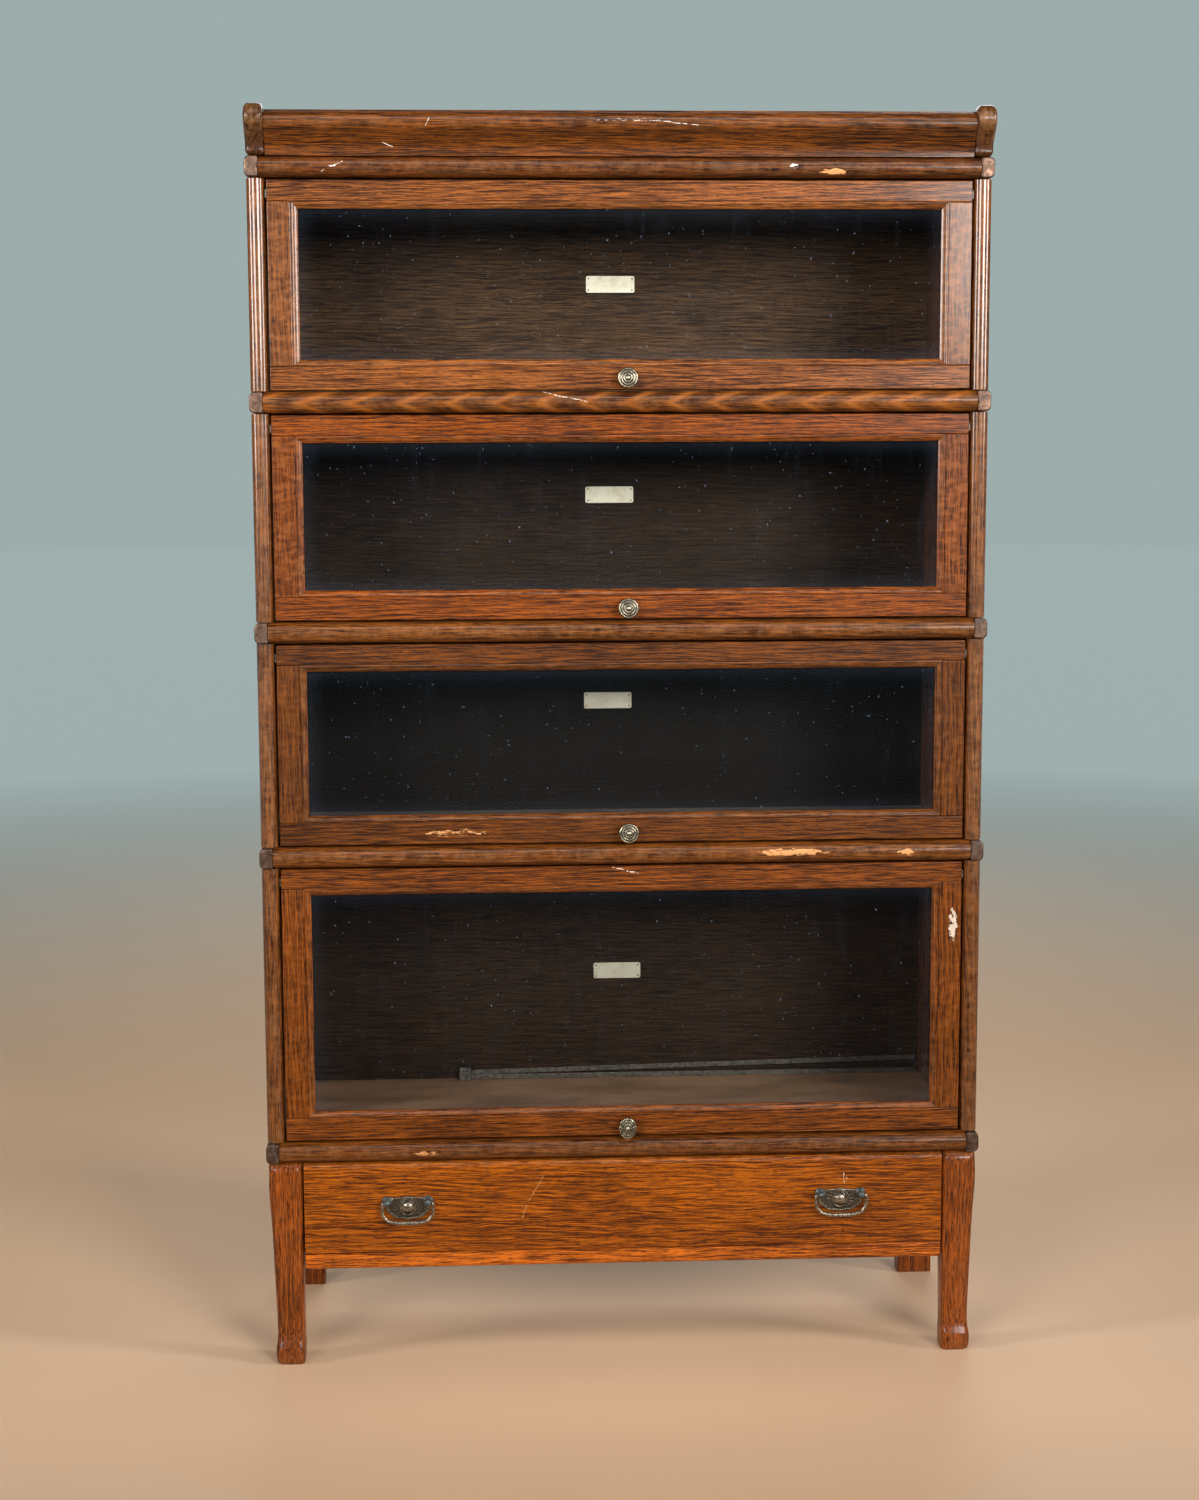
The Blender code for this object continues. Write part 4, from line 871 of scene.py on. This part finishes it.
def beadSection():
    # (inward from the sight edge, behind the face): a quirk, a round and the rabbet behind it
    look = doorLook
    swell = []
    for i in range(look["beadSteps"] + 1):
        angle = pi / 2 * i / look["beadSteps"]
        across = look["beadStart"] + (look["bead"] - look["beadStart"]) * (1 - cos(angle))
        dip = look["quirk"] * (1 - sin(angle * 2)) * 0.5
        swell.append((across, dip + look["beadDrop"] * (1 - cos(angle)) ** look["beadCurve"]))
    foot = [(look["bead"], look["beadBack"]), (look["rabbet"], look["beadBack"])]
    return [(0, look["quirk"])] + swell + foot


def beadWear(inward):
    start, end = doorLook["rubbedBead"]
    return doorLook["beadWear"][0 if start < inward < end else 1]


def doorPieces(number):
    body = f"door_{number}"
    low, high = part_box(f"door_{number}_frame")
    stile, topRail, bottomRail = doorLook["stile"], doorLook["topRail"], doorLook["bottomRail"]
    sight = {"left": low.x + stile, "right": high.x - stile, "foot": low.z + bottomRail,
             "head": high.z - topRail}
    bm = bmesh.new()
    addBox(bm, (low.x, low.y, low.z), (high.x, high.y, sight["foot"]))
    addBox(bm, (low.x, low.y, sight["head"]), (high.x, high.y, high.z))
    rails = meshObject(f"door_{number}_rails", bm, oakDoorRails[number])
    bm = bmesh.new()
    for start, end in ((low.x, sight["left"]), (sight["right"], high.x)):
        addBox(bm, (start, low.y, sight["foot"] + hair), (end, high.y, sight["head"] - hair))
    stiles = meshObject(f"door_{number}_stiles", bm, oakStiles[number])
    for piece in (rails, stiles):
        soften(piece, doorLook["eased"], 3, 50)
    finishPiece(rails, body, "oak_door", f"door_{number}_frame")
    finishPiece(stiles, body, "oak_door")

    section = beadSection() + [(doorLook["rabbet"], high.y - low.y - hair), (0, high.y - low.y - hair)]
    bm = bmesh.new()
    for edge, way in ((sight["foot"], 1), (sight["head"], -1)):
        outline = [(low.y + back, edge + way * inward) for inward, back in section]
        sweep(bm, outline, "x", sight["left"], sight["right"], wear=lambda y, z: beadWear(abs(z - edge)),
              mitre=lambda y, z: abs(z - edge))
    finishPiece(meshObject(f"door_{number}_bead_rails", bm, oakDoorRails[number], 30), body, "oak_door")
    bm = bmesh.new()
    for edge, way in ((sight["left"], 1), (sight["right"], -1)):
        outline = [(edge + way * inward, low.y + back) for inward, back in section]
        sweep(bm, outline, "z", sight["foot"], sight["head"], wear=lambda x, y: beadWear(abs(x - edge)),
              mitre=lambda x, y: abs(x - edge) + hair)
    finishPiece(meshObject(f"door_{number}_bead_stiles", bm, oakStiles[number], 30), body, "oak_door")
    pane = f"door_{number}_glass"
    frame["nodes"][pane].data.materials[0] = dustyGlass(f"door {number} glass", pane)


knobLook = {
    "sides": 72, "petals": 10, "petalDepth": 0.07, "faceStart": 0.84, "petalCore": 0.2, "grooveWearAndShade": 0.25,
    # share of the length, share of the radius
    "stations": [
        (0, 0.62), (0.06, 0.62), (0.10, 0.58), (0.16, 0.36), (0.30, 0.31), (0.50, 0.33), (0.58, 0.60),
        (0.62, 0.84), (0.66, 0.95), (0.72, 0.995), (0.78, 1.0), (0.83, 0.97), (0.86, 0.92), (0.875, 0.88),
        (0.865, 0.84), (0.85, 0.79), (0.86, 0.73), (0.885, 0.69), (0.90, 0.64), (0.89, 0.59), (0.87, 0.54),
        (0.88, 0.49), (0.92, 0.44), (0.935, 0.38), (0.92, 0.32), (0.915, 0.27), (0.95, 0.22), (0.985, 0.14),
        (1.0, 0.05)],
    "ridges": (0.88, 0.64, 0.38, 0.92, 0.14, 0.05),
}


def doorKnob(number):
    # concentric turned rings; the lowest knob is a taller pressed one with petals
    low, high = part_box(f"door_{number}_knob")
    centre = ((low.x + high.x) / 2, high.y, (low.z + high.z) / 2)
    width, tall = (high.x - low.x) / 2, (high.z - low.z) / 2
    stations, faceStart = knobLook["stations"], knobLook["faceStart"]
    profile = [(-share * (high.y - low.y), radius) for share, radius in stations]

    def petals(i, angle):
        share, radius = stations[i]
        if share > faceStart and radius > knobLook["petalCore"]:
            return 1 + knobLook["petalDepth"] * cos(knobLook["petals"] * angle)
        return 1

    # ridges get full wear; the low value in the grooves means less rubbing and also painted shade there
    def ridgeWearAndShade(i, j):
        share, radius = stations[i]
        return 1.0 if share > faceStart and radius in knobLook["ridges"] else knobLook["grooveWearAndShade"]

    bm = bmesh.new()
    turned(bm, profile, centre, "y", knobLook["sides"], (width, tall), petals if number == lowest else None,
           ridgeWearAndShade)
    piece = meshObject(f"door_{number}_turned_knob", bm, knobMetal, 60)
    finishPiece(piece, f"door_{number}", "knob_brass", f"door_{number}_knob")


for number in sections:
    doorPieces(number)
    doorKnob(number)

print("base and drawer")
legLook = {"footWidth": 0.034, "topWidth": 0.041, "depth": 0.040, "steps": 5, "taperShare": 0.2,
           "rubbedFoot": 9, "rubbedHead": 7, "wear": (0.9, 0.2),
           # level from the floor or the top, width change, front setback, depth change, corner round
           "foot": [(0.000, -0.0040, -0.001, -0.010, 0.006), (0.004, 0.0000, -0.004, -0.005, 0.007),
                    (0.018, 0.0010, -0.005, -0.004, 0.007), (0.032, -0.001, 0.000, -0.010, 0.006),
                    (0.050, -0.001, 0.003, -0.013, 0.005), (0.100, 0.001, 0.003, -0.011, 0.005)],
           "head": [(-0.080, -0.003, 0.001, -0.006, 0.005), (-0.040, 0.000, -0.001, 0.000, 0.006),
                    (-0.014, 0.000, -0.001, 0.000, 0.008), (-0.004, 0.000, 0.002, -0.003, 0.009),
                    (0.000, -0.004, 0.007, -0.008, 0.009)]}


def frontLeg(word, side):
    low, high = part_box(f"front_leg_{word}")
    inner = min(abs(low.x), abs(high.x))
    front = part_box(f"section_{lowest}_side_left")[0].y + sideBoard["postSetback"]
    stations = [(level, legLook["footWidth"] + width, setback, legLook["depth"] + depth, edge)
                for level, width, setback, depth, edge in legLook["foot"]]
    stations += [(high.z + level, legLook["topWidth"] + width, setback, legLook["depth"] + depth, edge)
                 for level, width, setback, depth, edge in legLook["head"]]
    loops = []
    for level, width, setback, depth, edge in smoothPath(stations, legLook["steps"]):
        step = (legLook["topWidth"] - width) * legLook["taperShare"]
        x = (inner + step, inner + step + width)
        y = (front + setback, front + setback + depth)
        loops.append([(side * a, b, min(max(level, 0.0), high.z)) for a, b in roundedPlan(x, y, edge)])
    rubbedTop = len(loops) - legLook["rubbedHead"]
    bm = bmesh.new()
    often, seldom = legLook["wear"]
    loft(bm, loops, wear=lambda i, j: often if i < legLook["rubbedFoot"] or i > rubbedTop else seldom)
    finishPiece(meshObject(f"shaped_leg_{word}", bm, oakLeg), "case", "oak_case", f"front_leg_{word}")


def plainBoard(name, node, material, slotName, eased, segments=2):
    low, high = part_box(node)
    bm = bmesh.new()
    addBox(bm, low, high)
    piece = meshObject(name, bm, material)
    soften(piece, eased, segments, 50)
    return finishPiece(piece, "case", slotName, node)


for word, side in sides.items():
    frontLeg(word, side)
    plainBoard(f"square_leg_{word}", f"back_leg_{word}", oakLeg, "oak_case", 0.002, 3)
plainBoard("apron_board", "base_apron", oakApron, "oak_drawer", 0.003, 4)

drawerLook = {"topRound": 0.007, "arris": 0.002, "eased": 0.0010, "roundSteps": 12, "arrisSteps": 5,
              "rubbedDown": 0.00665, "unrubbedBack": 0.001}


def drawerFront():
    low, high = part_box("drawer_front")
    edge, arris = drawerLook["topRound"], drawerLook["arris"]
    down, back = drawerLook["rubbedDown"], drawerLook["unrubbedBack"]
    outline = arc((low.y + edge, high.z - edge), edge, 90, 180, drawerLook["roundSteps"])
    outline += arc((low.y + arris, low.z + arris), arris, 180, 270, drawerLook["arrisSteps"])
    outline += [(high.y, low.z), (high.y, high.z)]
    bm = bmesh.new()
    sweep(bm, outline, "x", low.x, high.x,
          wear=lambda y, z: 1.0 if z > high.z - down and y < high.y - back else 0.0)
    piece = meshObject("drawer_board", bm, oakDrawer)
    soften(piece, drawerLook["eased"], 2, 60)
    finishPiece(piece, "drawer", "oak_drawer", "drawer_front")


handleLook = {
    # backplate: a broad oval drawn in towards its foot, its edge lightly scalloped
    "plateThick": 0.0016, "plateDrop": 0.0022, "plateFit": 0.985, "ovalPower": 2.6, "drawnIn": 0.26,
    "scallops": 10, "scallopSide": 0.025, "scallopRise": 0.03, "rings": 26, "spokes": 120, "engravedTo": 0.84,
    "rimHeight": 0.0007, "rimAt": 0.90, "rimSpread": 0.07,
    "domeRadius": 0.0085, "domeHeight": 0.0040,
    "collarHeight": 0.0008, "collarAt": 1.22, "collarSpread": 0.0011,
    "ribHeight": 0.00035, "ribs": 22, "ribsFrom": 1.35, "ribsTo": 2.1,
    "scrollHeight": 0.0004, "scrollPitch": 1900,
    # posts: along from the plate, share of the post radius
    "postSpread": 0.0245, "postRadius": 0.0036, "postTip": (0.0003, 0.42),
    "post": [(0, 1.75), (0.0012, 1.8), (0.0026, 1.45), (0.0040, 0.86), (0.0056, 0.82), (0.0068, 1.06),
             (0.0078, 1.12), (0.0118, 1.12), (0.0128, 0.95)],
    "finial": [(0.0030, 0.7), (0.0045, 0.95), (0.0060, 0.45), (0.0062, 0.60), (0.0072, 0.45), (0.0076, 0.1)],
    "finialForward": 0.0012,
    # bail: share of its reach, share of its drop
    "bailRadius": 0.0025, "bailPlay": 0.0004, "bailEyes": 1.12, "thinEnd": 0.84, "fuller": 0.28,
    "elbow": [(0.75, -0.0012), (0.99, -0.0060), (0.985, -0.0110)],
    "grip": [(0.93, -0.64), (0.79, -0.84), (0.52, -0.955), (0.25, -0.985), (0, -0.985)],
}


def handlePlate(word, centre):
    # a shaped backplate with a raised rim, a domed boss and engraved ribs, and its two posts
    look = handleLook
    low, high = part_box(f"handle_plate_{word}")
    half, mid = (high.x - low.x) / 2, (low.z + high.z) / 2
    tall = (high.z - low.z) / 2
    face, thick = high.y, look["plateThick"]
    rings, spokes = look["rings"], look["spokes"]
    dome, power = look["domeRadius"], look["ovalPower"]

    def outlineAt(angle):
        x, z = cos(angle), sin(angle)
        full = (abs(x) ** power + abs(z) ** power) ** (-1 / power)
        scallop = cos(look["scallops"] * angle)
        taper = 1 - look["drawnIn"] * (0.5 - 0.5 * z * full) ** 1.5 - look["scallopSide"] * scallop
        reach = tall + (look["plateDrop"] if z < 0 else 0.0)
        rise = 1 - look["scallopRise"] * scallop
        return half * look["plateFit"] * x * full * taper, reach * look["plateFit"] * z * full * rise

    def heightAt(x, z, share):
        reach = hypot(x, z * 1.05)
        height = thick * 0.55 * min(1.0, (1.001 - share) * 18)
        height += look["rimHeight"] * max(0.0, 1 - abs(share - look["rimAt"]) / look["rimSpread"])
        height += look["domeHeight"] * max(0.0, 1 - (reach / dome) ** 2) ** 0.6
        ring = abs(reach - dome * look["collarAt"]) / look["collarSpread"]
        height += look["collarHeight"] * max(0.0, 1 - ring)
        if share < look["engravedTo"]:
            if dome * look["ribsFrom"] < reach < dome * look["ribsTo"]:
                height += look["ribHeight"] * (0.5 + 0.5 * cos(look["ribs"] * atan2(z, x)))
            elif reach > dome * look["ribsTo"]:
                height += look["scrollHeight"] * (0.5 + 0.5 * sin(reach * look["scrollPitch"]))
        return height

    loops = []
    for i in range(rings):
        share = 1 - i / rings
        loop = []
        for j in range(spokes):
            x, z = outlineAt(2 * pi * j / spokes)
            x, z = x * share, z * share
            loop.append((centre[0] + x, face - heightAt(x, z, share), mid + z))
        loops.append(loop)
    back = [(x, face, z) for x, y, z in loops[0]]
    bm = bmesh.new()
    # rim and dome fully rubbed; the low value in the engraved field also paints shade there through the
    # bronze's painted hollow shade
    loft(bm, [back] + loops, wear=lambda i, j: 1.0 if i > rings * 0.72 or i in (3, 4) else 0.25)
    plate = meshObject(f"handle_backplate_{word}", bm, bronze, 70)
    finishPiece(plate, "drawer", "handle_bronze", f"handle_plate_{word}")

    post, (tip, tipShare) = look["postRadius"], look["postTip"]
    stations = look["post"] + [(high.y - low.y - tip, tipShare)]
    bm = bmesh.new()
    for end in (-1, 1):
        x = centre[0] + end * look["postSpread"]
        profile = [(-along, post * share) for along, share in smoothPath(stations, 3)]
        turned(bm, profile, (x, face, centre[2]), "y", 28)
        # an upright finial over each post
        profile = [(along, post * share) for along, share in smoothPath(look["finial"], 4)]
        turned(bm, profile, (x, centre[1] + look["finialForward"], centre[2]), "z", 20)
    posts = meshObject(f"handle_posts_{word}", bm, verdigris, 60)
    finishPiece(posts, "drawer", "handle_bronze")


def handleBail(word, centre):
    # a swan bail: thin hooked ends, fullest in the middle of its grip
    look = handleLook
    low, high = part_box(f"bail_{word}")
    radius = look["bailRadius"]
    reach, drop = (high.x - low.x) / 2 - radius, centre[2] - low.z - radius
    start = look["postSpread"] + look["postRadius"] * look["bailEyes"] + look["bailPlay"]
    (inner, rise), *bend = look["elbow"]
    half = [(start, 0.0), (start + (reach - start) * inner, rise)]
    half += [(reach * share, z) for share, z in bend]
    half += [(reach * share, drop * depth) for share, depth in look["grip"]]
    points = half + [(-x, z) for x, z in reversed(half[:-1])]
    path = smoothPath([(centre[0] + x, centre[1], centre[2] + z) for x, z in points], 7)
    grips = [max(0.0, 1 - abs(point.x - centre[0]) / (reach * 0.8)) for point in path]
    radii = [radius * (look["thinEnd"] + look["fuller"] * min(1.0, grip * 1.6)) for grip in grips]
    bm = bmesh.new()
    tube(bm, path, radii, 16, wear=lambda i, j: 0.9)
    piece = meshObject(f"swan_bail_{word}", bm, bronze, 60)
    finishPiece(piece, f"bail_{word}", "handle_bronze", f"bail_{word}")


drawerFront()
for word in sides:
    pivot = Vector(joints[f"bail_{word}_hinge"]["pos_m"])
    handlePlate(word, pivot)
    handleBail(word, pivot)

print("label plates, screws and the loose equaliser")
labelLook = {"width": 0.062, "height": 0.021, "thick": 0.0009, "corner": 0.0025, "rise": 0.168,
             "offsets": {1: 0.001, 2: -0.001, 3: -0.004, 4: 0.007}, "pinInset": 0.0032, "pinRadius": 0.00105,
             "pinHeight": 0.0006, "eased": 0.00025}
screwLook = {"radius": 0.0034, "height": 0.0010, "slot": 0.0008, "footMargin": 0.024, "headMargin": 0.014,
             "inset": 0.055, "perRow": 5, "topAcross": (-0.36, -0.12, 0.12, 0.36), "topFront": 0.02,
             "topBack": 0.014}

for number in sections:
    low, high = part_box(f"section_{number}_back_panel")
    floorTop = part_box(f"section_{number}_front_rail")[0].z
    x, z = labelLook["offsets"][number], floorTop + labelLook["rise"]
    face = low.y - hair
    halfWide, halfTall = labelLook["width"] / 2, labelLook["height"] / 2
    plan = roundedPlan((x - halfWide, x + halfWide), (z - halfTall, z + halfTall), labelLook["corner"], 5)
    bm = bmesh.new()
    sweep(bm, plan, "y", face - labelLook["thick"], face)
    plate = meshObject(f"section_{number}_label_plate", bm, ivories[number])
    soften(plate, labelLook["eased"], 2, 60)
    finishPiece(plate, "case", "label_ivory")
    inset = labelLook["pinInset"]
    corners = [(x + sx * (halfWide - inset), face - labelLook["thick"], z + sz * (halfTall - inset))
               for sx in (-1, 1) for sz in (-1, 1)]
    pins = fasteners(f"section_{number}_label_pins", frontPins, corners, brass,
                     labelLook["pinRadius"], labelLook["pinHeight"])
    finishPiece(pins, "case", "knob_brass")

    rows = (low.z + screwLook["footMargin"], high.z - screwLook["headMargin"])
    span = high.x - screwLook["inset"]
    spots = [(-span + 2 * span * i / (screwLook["perRow"] - 1), high.y, row)
             for row in rows for i in range(screwLook["perRow"])]
    screws = fasteners(f"section_{number}_back_screws", backScrews, spots, dullSteel, screwLook["radius"],
                       screwLook["height"], screwLook["slot"])
    finishPiece(screws, "case", "steel")

equaliserLook = {"blockWidth": 0.015, "blockDepth": 0.012, "blockHeight": 0.017, "strapHeight": 0.0065,
                 "strapThick": 0.0020, "rise": 0.0165, "steps": 10, "eased": 0.0004}


def looseEqualiser():
    # a folded equaliser left on the lowest floor: a block and two forked straps
    low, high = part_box("loose_equaliser")
    look = equaliserLook
    bm = bmesh.new()
    addBox(bm, (low.x, high.y - look["blockDepth"], low.z),
           (low.x + look["blockWidth"], high.y, low.z + look["blockHeight"]))
    start = low.x + look["blockWidth"] + hair
    for lift, rise, forward in ((0.30, look["rise"], 0), (0.0, 0.0, 2 * look["strapThick"])):
        a, b = low.z + look["blockHeight"] * lift, low.z + rise
        back = high.y - look["strapThick"] - forward
        half = look["strapHeight"] / 2
        tip = [(high.x - half + half * cos(t), b + half + half * sin(t))
               for t in [pi * (i / look["steps"] - 0.5) for i in range(look["steps"] + 1)]]
        outline = [(start, a), (high.x - half, b)] + tip[1:-1]
        outline += [(high.x - half, b + 2 * half), (start, a + 2 * half)]
        sweep(bm, outline, "y", back - look["strapThick"], back, wear=lambda x, z: 0.5)
    piece = meshObject("loose_equaliser_straps", bm, dullSteel)
    soften(piece, equaliserLook["eased"], 2, 40)
    finishPiece(piece, "case", "steel", "loose_equaliser")


looseEqualiser()

low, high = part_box("top_board")
topSpots = [(x, y, high.z) for x in screwLook["topAcross"]
            for y in (low.y + screwLook["topFront"], high.y - screwLook["topBack"])]
finishPiece(fasteners("top_screws", topScrews, topSpots, dullSteel, screwLook["radius"], screwLook["height"],
                      screwLook["slot"]), "case", "steel")

print("finishes on the plain boards")
plainFinishes = {"top_board": oakTop, "base_frame": oakHidden, "drawer_box": oakHidden}
for number in sections:
    plainFinishes[f"section_{number}_floor"] = oakFloors[number]
    plainFinishes[f"section_{number}_back_panel"] = oakBacks[number]
    plainFinishes[f"door_{number}_hanger"] = dullSteel
    if number != lowest:
        for end in ("front", "back"):
            plainFinishes[f"equaliser_{number}_arm_{end}"] = dullSteel
for node, material in plainFinishes.items():
    frame["nodes"][node].data.materials[0] = material

print("floor, lights and camera")
studio = {
    "floor": (0.76, 0.51, 0.33), "floorTint": (0.97, 1.03), "sky": (0.337, 0.418, 0.413), "skyLight": 0.20,
    "floorRadius": 27.5, "fadeStart": 1.6, "fadeEnd": 5.5,
    "aim": (0, 0, 1.42), "spread": 58,
    # place, size, power and colour of each soft light
    "lights": {
        "left window": ((-3.4, -1.1, 2.05), (0.6, 2.0), 13, (1.0, 0.98, 0.96)),
        "right window": ((3.4, -1.3, 2.15), (0.6, 2.0), 15, (1.0, 0.98, 0.96)),
        "right front": ((1.98, -4.0, 2.05), (1.6, 1.3), 26, (1.0, 0.98, 0.95)),
        "left front": ((-2.15, -3.8, 2.0), (1.6, 1.3), 17, (1.0, 0.97, 0.93)),
        "front ceiling": ((0.2, -2.4, 3.9), (2.4, 1.4), 5, (1.0, 0.97, 0.93)),
        "rear fill": ((0.5, 3.4, 3.0), (2.6, 1.6), 60, (0.96, 0.98, 1.0)),
    },
}


def plainFloor():
    bm = bmesh.new()
    bmesh.ops.create_circle(bm, cap_ends=True, segments=96, radius=studio["floorRadius"])
    made, tree, shader = newMaterial("pale floor", Specular_IOR_Level=0.2)
    tint = noise(tree, objectPoint(tree), 1.4, detail=3)
    darker, lighter = [rgba(scaled(studio["floor"], share)) for share in studio["floorTint"]]
    colour = blendColour(tree, tint, darker, lighter)
    far = remap(tree, lengthOf(tree, objectPoint(tree)), studio["fadeStart"], studio["fadeEnd"])
    colour = blendColour(tree, far, colour, rgba((0, 0, 0)))
    shader.inputs["Emission Color"].default_value = rgba(studio["sky"])
    plug(tree, shader, Base_Color=colour, Emission_Strength=far)
    piece = meshObject("floor", bm, made)


def softLight(name, spot, size, power, colour):
    lamp = bpy.data.lights.new(name, "AREA")
    lamp.shape, lamp.size, lamp.size_y = "RECTANGLE", *size
    lamp.energy, lamp.color = power, colour
    lamp.spread = radians(studio["spread"]) if "rear" not in name else pi
    holder = bpy.data.objects.new(name, lamp)
    holder.location = spot
    aim = Vector(studio["aim"]) - Vector(spot)
    holder.rotation_euler = aim.to_track_quat("-Z", "Y").to_euler()
    holder.visible_camera = False
    bpy.context.collection.objects.link(holder)


def sky():
    world = bpy.data.worlds.new("soft sky")
    world.use_nodes = True
    tree = world.node_tree
    back = tree.nodes["Background"]
    back.inputs[0].default_value = rgba(studio["sky"])
    seen = addNode(tree, "ShaderNodeLightPath").outputs["Is Camera Ray"]
    tree.links.new(remap(tree, seen, 0, 1, studio["skyLight"], 1.0), back.inputs[1])
    bpy.context.scene.world = world
    bpy.context.scene.view_settings.view_transform = "Standard"


eye = {"place": (-0.1587, -2.8347, 1.0888), "yaw": 2.76, "pitch": -7.15, "roll": -0.23,
       "lens": 55.09, "film": 36.0}


def camera():
    data = bpy.data.cameras.new("view")
    data.lens, data.sensor_width, data.sensor_fit = eye["lens"], eye["film"], "AUTO"
    holder = bpy.data.objects.new("view", data)
    yaw, pitch, roll = [radians(eye[key]) for key in ("yaw", "pitch", "roll")]
    ahead = Vector((sin(yaw) * cos(pitch), cos(yaw) * cos(pitch), sin(pitch)))
    right = Vector((cos(yaw), -sin(yaw), 0))
    up = right.cross(ahead)
    right, up = right * cos(roll) + up * sin(roll), up * cos(roll) - right * sin(roll)
    turn = Matrix((right, up, -ahead)).transposed().to_4x4()
    holder.matrix_world = Matrix.Translation(eye["place"]) @ turn
    bpy.context.collection.objects.link(holder)
    bpy.context.scene.camera = holder


plainFloor()
for name, settings in studio["lights"].items():
    softLight(name, *settings)
sky()
camera()
